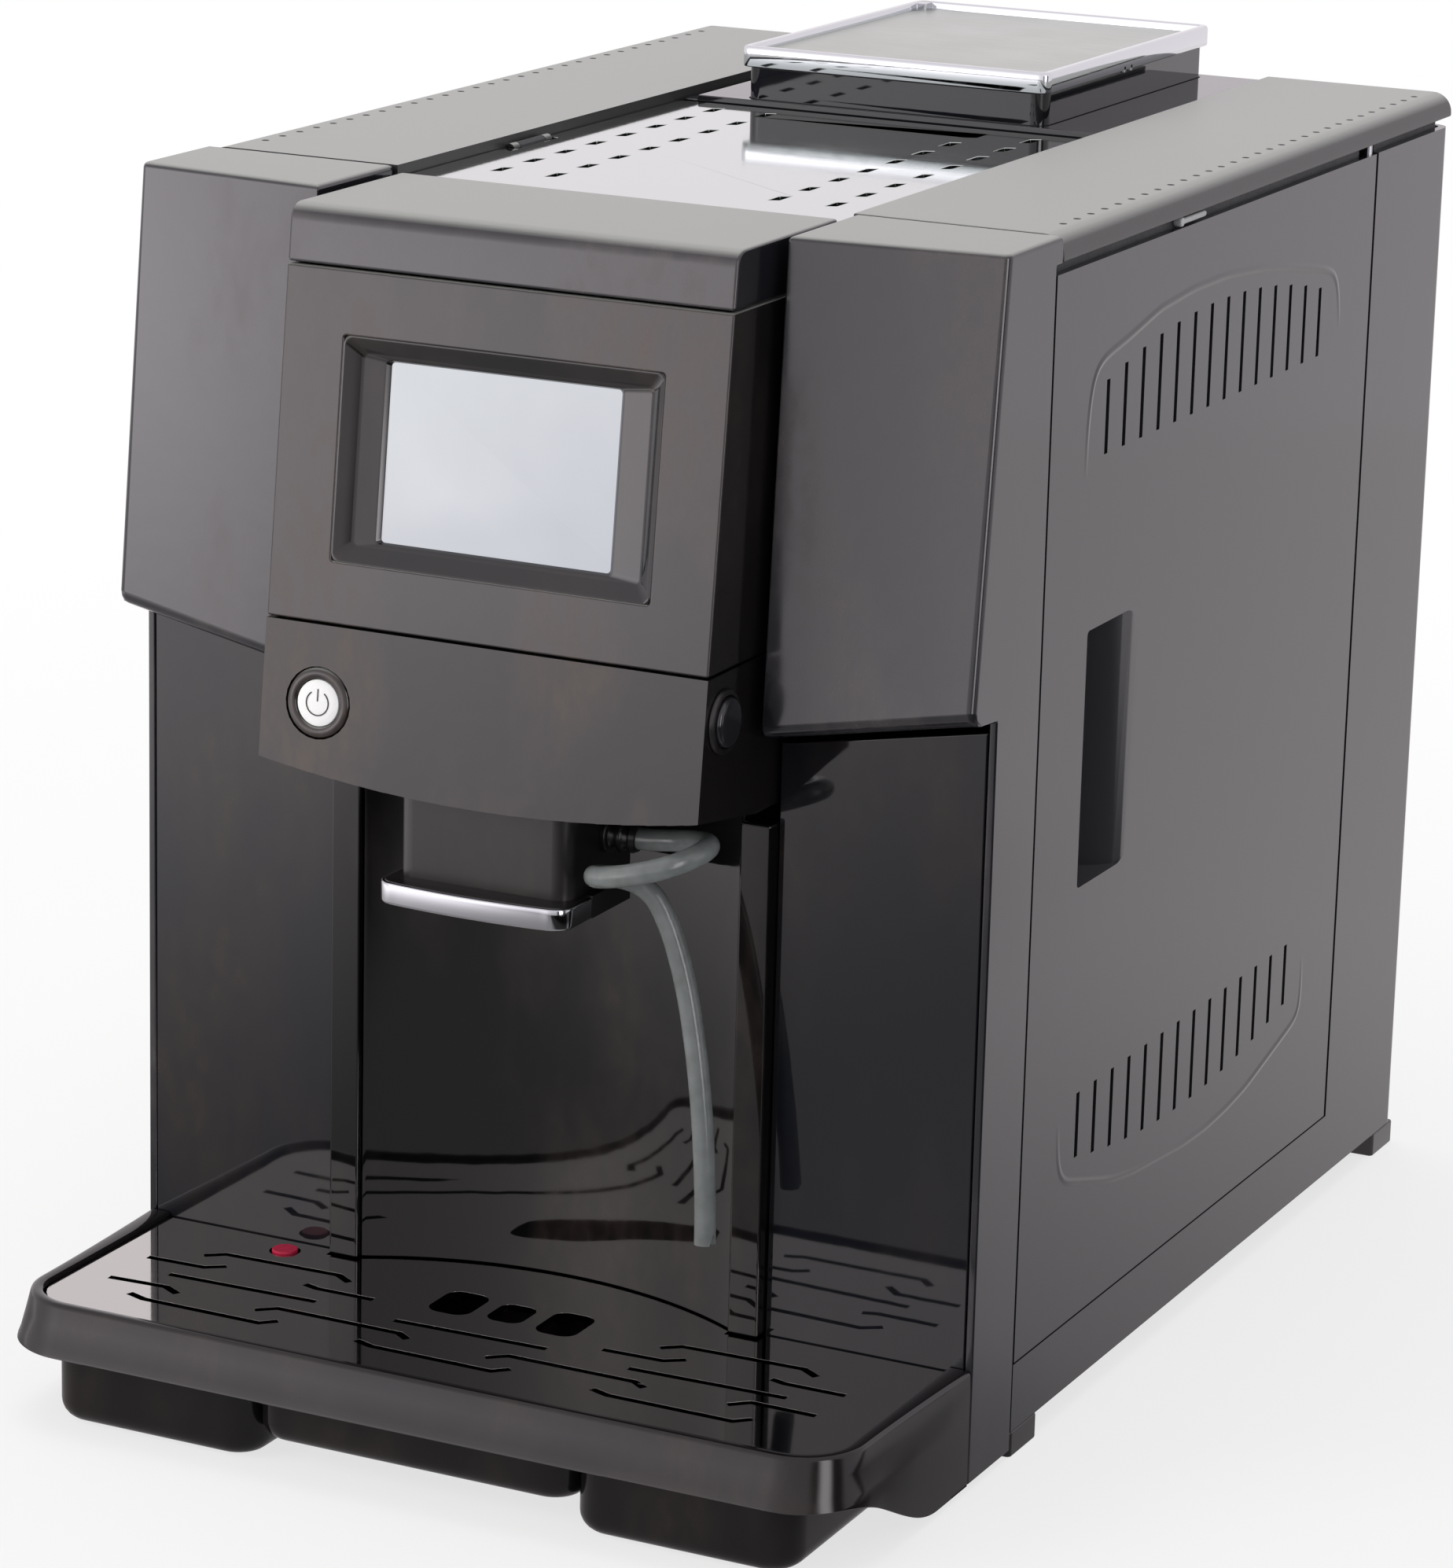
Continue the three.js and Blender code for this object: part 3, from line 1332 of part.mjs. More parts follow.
function makeTray() {
  const rimHalf = trayRimHalf;
  const skirtRing = (level, grow) => lift(
    trayOutline(side - grow, trayFootReach - grow, trayCorner + wall - grow, trayBack - grow), () => level,
  );
  const rimRing = (level, grow) => lift(
    trayOutline(rimHalf - grow, trayRimReach - grow, trayCorner - grow, trayBack - grow), () => level,
  );
  const ledgeFoot = ledgeTop - trayWall;
  const outer = loft([skirtRing(skirtClearance, 0), skirtRing(traySkirtFoot, 0), rimRing(trayRimHeight, 0)]);
  const inner = loft([
    skirtRing(skirtClearance - overrun, trayWall), skirtRing(traySkirtFoot, trayWall),
    rimRing(ledgeFoot, trayWall),
  ]);
  const tub = (low, reach, x0, x1, grow) => prism(
    roundedBox(x0 + grow, x1 - grow, -reach + grow, -tubBack - grow, cornerRadius),
    'z', low, ledgeTop + overrun,
  );
  const tubSolids = [
    tub(tubFoot, tubFront, tubInner, tubOuter, 0), tub(tubFoot, tubFront, -tubOuter, -tubInner, 0),
    tub(middleFoot, tubFront, -tubInner - cornerRadius, tubInner + cornerRadius, 0),
  ];
  const above = block(-side, side, -trayFootReach, trayBack, ledgeTop, ledgeTop + overrun * 2);
  const below = (shape) => cut(shape, above);
  const basins = [
    tub(tubFoot + trayWall, tubFront, tubInner, tubOuter, trayWall),
    tub(tubFoot + trayWall, tubFront, -tubOuter, -tubInner, trayWall),
    tub(middleFoot + trayWall, tubFront, -tubInner - cornerRadius, tubInner + cornerRadius, trayWall),
  ];
  const recess = prism(trayOutline(rimHalf - trayRimWidthSide, trayRimReach - trayRimFront,
    trayCorner - trayRimFront, trayBack + overrun), 'z', ledgeTop, trayRimHeight + overrun);
  const shell = cut(outer, cut(inner, ...tubSolids.map(below)), waveCutter());
  const tail = tongue(ledgeTop - tongueThickness, ledgeTop, seat * 2);
  const whole = cut(join(shell, ...tubSolids.map(below), tail), ...basins, recess);
  return piece('drip_tray', whole, ...pianoBlack);
}

// The skirt's foot is high in front and falls in a wave to the back
function waveCutter() {
  const rise = traySkirtFoot - skirtClearance;
  const wave = Array.from({ length: waveSteps + 1 }, (_, i) => {
    const t = i / waveSteps;
    return point(-waveStart + waveLength * t, traySkirtFoot - rise * THREE.MathUtils.smoothstep(t, 0, 1));
  });
  const front = -trayFootReach - overrun;
  const low = skirtClearance - overrun;
  return prism([point(front, low), point(-waveStart + waveLength, low), ...wave.reverse(),
    point(front, traySkirtFoot)], 'x', -side - overrun, side + overrun);
}

// Slots of the grille as shares of its half width and, from its back, of its length.
// Each is carried on by whole tiles to the right.
const slotShares = [
  { tiles: [0, 2], path: [[-0.902, 0.412], [-0.755, 0.402], [-0.713, 0.354]] },
  { tiles: [0], path: [[-0.909, 0.663], [-0.764, 0.647], [-0.719, 0.688]] },
  { tiles: [0, 1, 2], path: [[-0.814, 0.769], [-0.767, 0.795], [-0.464, 0.796], [-0.432, 0.745]] },
  { tiles: [0, 2], path: [[-0.796, 0.294], [-0.755, 0.242], [-0.462, 0.225], [-0.418, 0.272]] },
  { tiles: [0, 1, 2], path: [[-0.8, 0.529], [-0.421, 0.507]] },
  { tiles: [0, 2], path: [[-0.498, 0.369], [-0.462, 0.386], [-0.315, 0.384]] },
  { tiles: [0, 1], path: [[-0.514, 0.69], [-0.473, 0.634], [-0.161, 0.633], [-0.127, 0.671]] },
  { tiles: [0], path: [[0.666, 0.666], [0.705, 0.606], [0.861, 0.608]] },
];

// Three holes in the grille's middle, as shares of the same sizes: place, then half width and length
const holeShares = [
  [-0.136, 0.259, 0.053, 0.114], [0, 0.259, 0.045, 0.09], [0.136, 0.259, 0.051, 0.114],
];

// A strip of a given width along a path, with mitred bends
function stripOutline(path, width) {
  const sideOf = (sign) => path.map((p, i) => {
    const before = path[Math.max(i - 1, 0)];
    const after = path[Math.min(i + 1, path.length - 1)];
    const a = p.clone().sub(before).normalize();
    const b = after.clone().sub(p).normalize();
    const along = a.add(b).normalize();
    const bend = i > 0 && i < path.length - 1 ? Math.cos(b.angleTo(along)) : 1;
    return point(p.x - along.y * sign * width / (2 * bend), p.y + along.x * sign * width / (2 * bend));
  });
  return [...sideOf(1), ...sideOf(-1).reverse()];
}

function makeGrille() {
  const half = trayRimHalf - trayRimWidthSide - seat;
  const front = trayRimReach - trayRimFront - seat;
  const back = trayBack - seat;
  const run = -front - back;
  const gap = seat * 2;
  const behindBay = block(-bayHalf - gap, bayHalf + gap, chordBack - gap, trayBack + overrun,
    grilleFoot - overrun, grilleTop + overrun);
  const sheet = join(
    cut(prism(trayOutline(half, front, trayCorner - trayRimFront - seat, back), 'z', grilleFoot, grilleTop),
      behindBay),
    tongue(grilleFoot, grilleTop, gap),
  );
  const cutters = [];
  for (const { tiles, path } of slotShares) {
    for (const tile of tiles) {
      const places = path.map(([u, v]) => point((u + tile * grilleTileShare) * half, back + v * run));
      cutters.push(prism(stripOutline(places, grilleSlotWidth),
        'z', grilleFoot - overrun, grilleTop + overrun));
    }
  }
  for (const [u, v, wide, long] of holeShares) {
    const x = u * half;
    const y = back + v * run;
    const reach = Math.abs(run) * long;
    const corner = wide * half * 2 / 3;
    cutters.push(prism(roundedBox(x - wide * half, x + wide * half, y - reach, y + reach, corner),
      'z', grilleFoot - overrun, grilleTop + overrun));
  }
  cutters.push(rod('z', [-floatAcross, -floatBack], floatHole, grilleFoot - overrun, grilleTop + overrun));
  for (const x of [-bayHalf - gap, bayChord - gap]) {
    cutters.push(block(x, x + bandWidth + gap * 2, bandFront - gap, trayBack + overrun,
      grilleFoot - overrun, grilleTop + overrun));
  }
  return piece('drip_grille', cut(sheet, ...cutters), ...chromed);
}

function makeFloat() {
  const low = tubFoot + trayWall + seat;
  const float = join(
    rod('z', [0, -floatPadAhead], floatPad, low, low + floatPadHeight),
    rod('z', [0, 0], floatRadius, low, grilleTop + floatProud),
  );
  const placed = piece('tray_float', float, ...crimson);
  placed.position.set(-floatAcross, -floatBack, 0);
  return placed;
}

// Inner frame: two upright plates with a shelf between them and the tank's shelf outside
function makeInnerFrame() {
  const back = bodyDepth - frameBackGap;
  const low = baseTop + seat;
  const high = frameFoot - seat;
  const whole = join(
    block(-frameLeft - wall, -frameLeft, frameFront, back, low, high),
    block(frameRight, frameRight + wall, frameFront, back, low, high),
    block(-frameLeft - seat, frameRight + seat, frameFront + wall, back, shelfLevel, shelfLevel + wall),
    block(tankOuter, -frameLeft, tankStart, tankStart + tankShelfLength,
      tankShelfLevel, tankShelfLevel + wall),
  );
  return piece('inner_frame', whole, ...innerBlack);
}

const tankFoot = tankShelfLevel + wall + seat;

function makeWater() {
  const back = tankStart + tankLength;
  const top = tankFoot + tankHeight;
  const middle = [(tankOuter + tankInner) / 2, (tankStart + back) / 2];
  const outer = prism(roundedBox(tankOuter, tankInner, tankStart, back, tankCorner), 'z', tankFoot, top);
  const inner = prism(roundedBox(tankOuter + thinWall, tankInner - thinWall, tankStart + thinWall,
    back - thinWall, tankCorner - thinWall), 'z', tankFoot + thinWall, top + overrun);
  const boss = rod('z', middle, dockRadius + dockWall, tankFoot, tankFoot + dockHeight + dockWall);
  const pocket = rod('z', middle, dockRadius + seat, tankFoot - overrun, tankFoot + dockHeight + seat);
  const dock = rod('z', middle, dockRadius, tankFoot, tankFoot + dockHeight);
  return {
    tank: piece('water_tank', cut(join(cut(outer, inner), boss), pocket), ...clearGrey),
    dock: piece('tank_dock', dock, ...innerBlack),
  };
}

function makeGrounds() {
  const outer = side - wall - groundsSideGap;
  const low = baseTop + runnerHeight + seat;
  const back = groundsStart + groundsLength;
  const box = cut(
    prism(roundedBox(groundsInner, outer, groundsStart, back, cornerRadius), 'z', low, low + groundsHeight),
    prism(roundedBox(groundsInner + thinWall, outer - thinWall, groundsStart + thinWall, back - thinWall,
      cornerRadius - thinWall), 'z', low + thinWall, low + groundsHeight + overrun),
  );
  return piece('grounds_container', box, ...innerBlack);
}

// Grinder: housing, burrs and motor about one upright shaft under the hopper
function makeGrinder() {
  const low = grinderTop - grinderHeight;
  const inner = grinderRadius - grinderWall;
  const housing = cut(
    turned([
      point(throatRadius, grinderTop), point(grinderRadius, grinderTop), point(grinderRadius, low),
      point(shaftRadius + seat, low), point(shaftRadius + seat, low + grinderWall),
      point(inner, low + grinderWall), point(inner, grinderTop - grinderWall),
      point(throatRadius, grinderTop - grinderWall),
    ], 0, hopperMiddle, middleSides),
    block(inner - overrun, grinderRadius + overrun,
      hopperMiddle - shaftRadius * 2, hopperMiddle + shaftRadius * 2,
      low + grinderWall, low + grinderHeight / 3),
  );
  const ringTop = grinderTop - grinderWall - seat;
  const ring = turned([
    point(burrRadius, ringTop - burrHeight), point(inner - seat, ringTop - burrHeight),
    point(inner - seat, ringTop), point(burrRadius / 2, ringTop),
  ], 0, hopperMiddle, middleSides);
  const motorTop = low - seat;
  const shelfTop = shelfLevel + wall + seat;
  const motor = cut(
    rod('z', [0, hopperMiddle], motorRadius, shelfTop, motorTop, middleSides),
    rod('z', [0, hopperMiddle], shaftRadius + runningGap,
      motorTop - shaftBite, motorTop + overrun, smallSides),
  );
  const coneFoot = ringTop - burrHeight * burrSkirtShare;
  const cone = turned([
    point(0, ringTop - burrGap), point(lowerBurrTop - burrGap, ringTop - burrGap),
    point(burrRadius - burrGap, ringTop - burrHeight), point(burrRadius - burrGap, coneFoot),
    point(shaftRadius, coneFoot), point(shaftRadius, motorTop - shaftBite + seat),
    point(0, motorTop - shaftBite + seat),
  ], 0, 0, middleSides);
  const lower = piece('lower_burr', cone, ...ceramic);
  lower.position.set(0, hopperMiddle, 0);
  return [
    piece('grinder_housing', housing, ...innerBlack),
    piece('upper_burr', ring, ...ceramic),
    piece('grinder_motor', motor, ...steel),
    lower,
  ];
}

// Brew group: a frame on the right plate, a chamber and the piston that presses the coffee
function makeBrewGroup() {
  const left = brewLeft;
  const right = brewRight;
  const back = brewStart + brewLength;
  const top = brewFoot + brewHeight;
  const centre = [(left + right) / 2 + brewPlate / 2, (brewStart + back) / 2];
  const frame = cut(
    join(
      block(left, left + brewPlate, brewStart, back, brewFoot, top),
      block(left, right, brewStart, back, brewFoot, brewFoot + brewPlate),
      block(left, right, brewStart, back, top - brewPlate, top),
    ),
    rod('z', centre, rodRadius + seat, top - brewPlate - overrun, top + overrun),
  );
  const chamberFoot = brewFoot + brewPlate + seat;
  const chamber = cut(
    rod('z', centre, chamberRadius, chamberFoot, chamberFoot + chamberHeight),
    rod('z', centre, chamberBore, chamberFoot + chamberFloor, chamberFoot + chamberHeight + overrun),
  );
  const pistonFoot = chamberFoot + chamberHeight + pistonLift;
  const piston = join(
    rod('z', [0, 0], chamberBore - pistonGap, pistonFoot, pistonFoot + pistonHeight),
    rod('z', [0, 0], rodRadius, pistonFoot + pistonHeight - seat, pistonFoot + pistonHeight + rodLength),
  );
  const moving = piece('brew_piston', piston, ...paleGrey);
  moving.position.set(centre[0], centre[1], 0);
  return [
    piece('brew_frame', frame, ...satinBlack),
    piece('brew_chamber', chamber, ...paleGrey),
    moving,
  ];
}

function makeHydraulics() {
  const shelfTop = shelfLevel + wall + seat;
  const left = -boilerLeft;
  const back = boilerStart + boilerLength;
  const boiler = join(
    prism(roundedBox(left, left + boilerWidth, boilerStart, back, cornerRadius), 'z',
      shelfTop, shelfTop + boilerHeight),
    rod('z', [left + boilerWidth / 3, boilerStart + boilerLength / 3], portRadius,
      shelfTop + boilerHeight - seat, shelfTop + boilerHeight + portLength, smallSides),
    rod('z', [left + boilerWidth * 2 / 3, boilerStart + boilerLength * 2 / 3], portRadius,
      shelfTop + boilerHeight - seat, shelfTop + boilerHeight + portLength, smallSides),
  );
  const low = baseTop + seat;
  const level = low + pumpStand + pumpRadius;
  const pumpBack = pumpStart + pumpLength;
  const pump = join(
    rod('y', [-pumpAcross, level], pumpRadius, pumpStart, pumpBack, middleSides),
    rod('y', [-pumpAcross, level], portRadius, pumpStart - portLength, pumpBack + portLength, smallSides),
    block(-pumpAcross - pumpRadius, -pumpAcross + pumpRadius, pumpStart + portLength, pumpBack - portLength,
      low, level - pumpRadius / 2),
  );
  const boardFace = -frameLeft + seat;
  const board = join(
    block(boardFace, boardFace + boardThickness, boardStart, boardStart + boardLength, boardLevel,
      boardLevel + boardHeight),
    ...[1, 3].map((quarter) => boardStart + boardLength * quarter / 4).map((middle) => block(
      boardFace, boardFace + boardThickness + chipHeight, middle - chipLength / 2, middle + chipLength / 2,
      boardLevel + boardHeight / 3, boardLevel + boardHeight / 3 + chipLength,
    )),
  );
  return [
    piece('boiler', boiler, ...steel),
    piece('pump', pump, ...steel),
    piece('main_board', board, ...boardGreen),
  ];
}

const water = makeWater();
const machine = group(
  group(makeBase(), ...makeFeet()),
  group(makeLeftSide(), makeRearCover(), makeInlet(), makeFascia('fascia_right', false),
    makeFascia('fascia_left', true), makeLowerFront('lower_front_right', false),
    makeLowerFront('lower_front_left', true), makeBayPanel()),
  group(makeDoor(), ...makeDoorParts()),
  group(...makeHead(), makeScreen(), makeButton(), makeKnob()),
  group(makeTopFrame(), ...makeRightDeck(), makeCupPlate(), ...makeHopper()),
  group(...makeTankLid(), water.tank, water.dock),
  group(makeInnerFrame(), makeGrounds(), ...makeGrinder(), ...makeBrewGroup(), ...makeHydraulics()),
  group(makeRail(), ...makeSpout()),
  group(makeTray(), makeGrille(), makeFloat()),
);
machine.position.y = (trayFootReach - bodyDepth) / 2;

export default group(machine);
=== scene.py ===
import json
import logging
import math
from dataclasses import dataclass, field, replace
from enum import Enum
from typing import Any, Callable, ClassVar, Sequence

import bmesh
import bpy
import numpy as np
from mathutils import Matrix, Vector

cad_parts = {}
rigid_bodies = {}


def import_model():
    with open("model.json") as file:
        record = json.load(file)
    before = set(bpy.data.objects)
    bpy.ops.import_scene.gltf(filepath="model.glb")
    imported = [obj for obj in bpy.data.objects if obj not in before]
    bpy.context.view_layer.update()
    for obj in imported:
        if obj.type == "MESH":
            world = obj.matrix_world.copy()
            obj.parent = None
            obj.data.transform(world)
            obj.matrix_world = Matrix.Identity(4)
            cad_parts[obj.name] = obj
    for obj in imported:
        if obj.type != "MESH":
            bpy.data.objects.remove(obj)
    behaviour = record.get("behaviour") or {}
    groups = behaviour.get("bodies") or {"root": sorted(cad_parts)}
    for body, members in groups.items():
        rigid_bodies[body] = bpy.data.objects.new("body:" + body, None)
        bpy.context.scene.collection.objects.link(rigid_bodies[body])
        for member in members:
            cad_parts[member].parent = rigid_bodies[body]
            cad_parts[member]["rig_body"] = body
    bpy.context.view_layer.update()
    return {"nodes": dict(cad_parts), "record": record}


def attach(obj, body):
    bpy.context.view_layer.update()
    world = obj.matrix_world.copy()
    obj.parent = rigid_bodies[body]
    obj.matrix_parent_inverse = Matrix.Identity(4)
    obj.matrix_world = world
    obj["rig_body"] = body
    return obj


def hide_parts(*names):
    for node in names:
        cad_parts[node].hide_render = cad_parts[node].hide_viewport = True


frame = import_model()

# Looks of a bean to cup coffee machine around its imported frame.
# Sizes are millimetres measured as in the part's source: x from the middle plane, y from the front
# seam of the side panels and z from the worktop. row_frame() turns them into metres of the frame.

Array = np.ndarray
Tree = bpy.types.NodeTree
Node = bpy.types.Node
Pair = tuple[float, float]
Place = tuple[float, float, float]

log = logging.getLogger("coffee_machine")
MM = 0.001
SEAM_TO_ORIGIN = 106.0
HEAD_LEAN = math.radians(6.19)
HEAD_NOSE = 80.5
NOSE_LEVEL = 205.0
WELD = 2e-6
IN_PLANE = math.radians(0.8)
BY_AREA = 60
SMOOTH = {"interpolation_type": "SMOOTHSTEP"}
WHITE = (1.0, 1.0, 1.0, 1.0)
SLOT_OF = {part["node"]: part["material_slot"] for part in frame["record"]["subparts"]}


def row_frame(points: Array) -> Array:
    """Moves millimetre places from the front seam to the frame's origin, in metres.

    Args:
        points: Places in millimetres, one row each.

    Returns:
        The places in metres.
    """
    return (np.asarray(points, float) - [0.0, SEAM_TO_ORIGIN, 0.0]) * MM


def linear(code: str) -> tuple[float, float, float, float]:
    """Turns an sRGB hex colour to linear light: a power of 2.4 above a short straight toe.

    Args:
        code: Six hex digits.

    Returns:
        Red, green, blue and an alpha of 1.
    """
    part = np.array([int(code[i : i + 2], 16) for i in (0, 2, 4)]) / 255.0
    light = np.where(part <= 0.04045, part / 12.92, ((part + 0.055) / 1.055) ** 2.4)
    return (float(light[0]), float(light[1]), float(light[2]), 1.0)


def per_mm(size: float) -> float:
    """Texture scale for a pattern whose grain is this many millimetres wide."""
    return 1000.0 / size


def add_node(tree: Tree, kind: str, inputs: Any = (), **settings: Any) -> Node:
    """Adds a shader node with its settings, constants and incoming links.

    Args:
        tree: The material's or world's node tree.
        kind: The node's type name without ShaderNode in front.
        inputs: What its sockets get, in their order, or a dict by socket name or number: a
            constant, an output socket, or a node, which stands for its first output.
        **settings: The node's own properties.

    Returns:
        The new node.
    """
    node = tree.nodes.new("ShaderNode" + kind)
    for name, value in settings.items():
        setattr(node, name, value)
    for socket, value in inputs.items() if isinstance(inputs, dict) else enumerate(inputs):
        source = value.outputs[0] if isinstance(value, Node) else value
        if isinstance(source, bpy.types.NodeSocket):
            tree.links.new(source, node.inputs[socket])
        else:
            node.inputs[socket].default_value = source
    return node


# Finishes


@dataclass(frozen=True)
class Finish:
    """A finish of the machine: what it is called and the record's slot that it fills, which is not used."""

    title: str
    slot: str
    made: ClassVar[dict[str, bpy.types.Material]] = {}

    def material(self) -> bpy.types.Material:
        """Gives the finish's material, built once.

        Returns:
            The material.
        """
        if self.title not in Finish.made:
            material = bpy.data.materials.new(self.title)
            material.use_nodes = True
            tree = material.node_tree
            tree.nodes.clear()
            add_node(tree, "OutputMaterial", {"Surface": self.shader(tree)})
            Finish.made[self.title] = material
        return Finish.made[self.title]

    def shader(self, tree: Tree) -> Node:
        """Builds the finish's shader in a node tree. Each finish has its own."""
        raise NotImplementedError

    def pattern(self, tree: Tree, size: float, detail: float = 2.0, stretch: Place = (1, 1, 1)) -> Node:
        """Lays cloudy blots of a real size over the piece.

        Args:
            tree: The node tree.
            size: Width of a blot in millimetres.
            detail: Octaves.
            stretch: Factor along each axis. Below 1 it draws the blots out along that axis.

        Returns:
            The node whose first output is the pattern, from 0 to 1.
        """
        places = add_node(tree, "TexCoord").outputs["Object"]
        drawn = add_node(tree, "Mapping", {"Vector": places, "Scale": stretch})
        return add_node(tree, "TexNoise", {"Vector": drawn, "Scale": per_mm(size), "Detail": detail})


@dataclass(frozen=True)
class MouldedAbs(Finish):
    """Black ABS, injection moulded. A bare polished tool gives deep black with mirror reflections,
    and a satin tool a soft grey sheen at low angles, which upward faces carry as a painted lighter
    colour. Handling leaves hazy, faintly brown patches."""

    slot: str = "piano_black"
    colour: str = "141315"
    haze_colour: str = "2a2422"
    roughness: float = 0.05
    haze: float = 0.0
    haze_size: float = 38.0
    # The top's roughness is the tool's satin; the top's colour is a painted sheen, a lighter grey on upward
    # faces
    top_roughness: float = 0.0
    painted_top_sheen: str = ""
    grain: float = 0.0
    grain_size: float = 1.1
    level: float = 0.5
    # Spans of the normal: its y on faces that hands reach, and its z on faces that look up
    front: Pair = (-0.9, -0.6)
    upward: Pair = (0.55, 0.9)
    untouched: float = 0.25
    # How smudges and the specks in them are drawn out, and the noise levels where they set in
    haze_stretch: Place = (1.0, 1.0, 0.45)
    haze_span: Pair = (0.46, 0.66)
    speck_size: float = 5.0
    speck_stretch: Place = (1.0, 1.0, 0.5)
    speck_span: Pair = (0.35, 0.7)
    speck_least: float = 0.35
    # How much a smudge dulls any face, and a hazed one on top of that
    dulling: float = 0.04
    haze_dulling: float = 0.25
    wave_size: float = 9.0
    wave: float = 0.012
    ior: float = 1.54

    def shader(self, tree: Tree) -> Node:
        """Roughness and colour follow smudges, which lie on the front faces that hands touch and are
        drawn out upwards. Upward faces may have the satin roughness of the tool's top and a painted
        sheen: a lighter grey colour."""
        normals = add_node(tree, "TexCoord").outputs["Normal"]
        facing = add_node(tree, "SeparateXYZ", [normals]).outputs
        touched = add_node(tree, "MapRange", [facing["Y"], *self.front, 1.0, self.untouched])
        broad = self.pattern(tree, self.haze_size, 3.0, self.haze_stretch)
        fine = self.pattern(tree, self.speck_size, 4.0, self.speck_stretch)
        blot = add_node(tree, "MapRange", [broad, *self.haze_span, 0.0, 1.0])
        speck = add_node(tree, "MapRange", [fine, *self.speck_span, self.speck_least, 1.0])
        worn = add_node(tree, "Math", [blot, touched], operation="MULTIPLY")
        smudge = add_node(tree, "Math", [worn, speck], operation="MULTIPLY")
        dull = self.roughness + self.dulling + self.haze * self.haze_dulling
        rough = add_node(tree, "MapRange", [smudge, 0.0, 1.0, self.roughness, dull])
        tones = {0: smudge, 6: linear(self.colour), 7: linear(self.haze_colour)}
        colour = add_node(tree, "Mix", tones, data_type="RGBA").outputs[2]
        if self.top_roughness:
            top = add_node(tree, "MapRange", [facing["Z"], *self.upward, 0.0, 1.0])
            rough = add_node(tree, "Mix", {0: top, 2: rough, 3: self.top_roughness}, data_type="FLOAT")
            # Painted sheen: upward faces are mixed towards a lighter grey that stands in for light caught
            # at low angles
            tones = {0: top, 6: colour, 7: linear(self.painted_top_sheen)}
            colour = add_node(tree, "Mix", tones, data_type="RGBA").outputs[2]
        ripple = self.pattern(tree, self.wave_size, 1.0)
        normal = add_node(tree, "Bump", {"Distance": self.wave * MM, "Strength": 1.0, "Height": ripple})
        if self.grain:
            pits = self.pattern(tree, self.grain_size)
            deep = {"Distance": self.grain * MM, "Strength": 1.0, "Height": pits, "Normal": normal}
            normal = add_node(tree, "Bump", deep)
        look = {"Base Color": colour, "Roughness": rough, "Normal": normal}
        return add_node(tree, "BsdfPrincipled", {"IOR": self.ior, "Specular IOR Level": self.level, **look})


@dataclass(frozen=True)
class PlatedChrome(Finish):
    """ABS with a chrome plating: a mirror with a cool cast and faint waviness from the moulding."""

    slot: str = "chrome"
    colour: str = "e4e7ea"
    roughness: float = 0.05
    wave: float = 0.02
    wave_size: float = 14.0
    # Fingermarks: their size, the noise levels where they set in, and how much they dull
    mark_size: float = 5.0
    mark_span: Pair = (0.5, 0.75)
    dulling: float = 0.08

    def shader(self, tree: Tree) -> Node:
        """A metal whose roughness rises a little in fingermarks."""
        marks = self.pattern(tree, self.mark_size, 3.0)
        dull = [self.roughness, self.roughness + self.dulling]
        rough = add_node(tree, "MapRange", [marks, *self.mark_span, *dull])
        ripple = self.pattern(tree, self.wave_size, 1.0)
        normal = add_node(tree, "Bump", {"Distance": self.wave * MM, "Strength": 1.0, "Height": ripple})
        look = {"Base Color": linear(self.colour), "Roughness": rough, "Normal": normal}
        return add_node(tree, "BsdfPrincipled", {"Metallic": 1.0, **look})


@dataclass(frozen=True)
class SheetSteel(Finish):
    """Stainless steel sheet, polished or brushed: a grey mirror with hairlines along one axis."""

    slot: str = "mirror_steel"
    colour: str = "c4cac7"
    roughness: float = 0.05
    hairline: float = 0.004
    stretch: Place = (0.04, 1.0, 1.0)
    spread: float = 0.04
    hair_width: float = 0.7
    stain_size: float = 26.0
    stain_span: Pair = (0.15, 0.4)

    def shader(self, tree: Tree) -> Node:
        """Hairlines are a noise drawn out along one axis, and stains raise the roughness."""
        lines = self.pattern(tree, self.hair_width, 2.0, self.stretch)
        stain = self.pattern(tree, self.stain_size, 3.0)
        both = add_node(tree, "Math", [lines, stain], operation="MULTIPLY")
        dull = [self.roughness, self.roughness + self.spread]
        rough = add_node(tree, "MapRange", [both, *self.stain_span, *dull])
        normal = add_node(tree, "Bump", {"Distance": self.hairline * MM, "Strength": 1.0, "Height": lines})
        look = {"Base Color": linear(self.colour), "Roughness": rough, "Normal": normal}
        return add_node(tree, "BsdfPrincipled", {"Metallic": 1.0, **look})


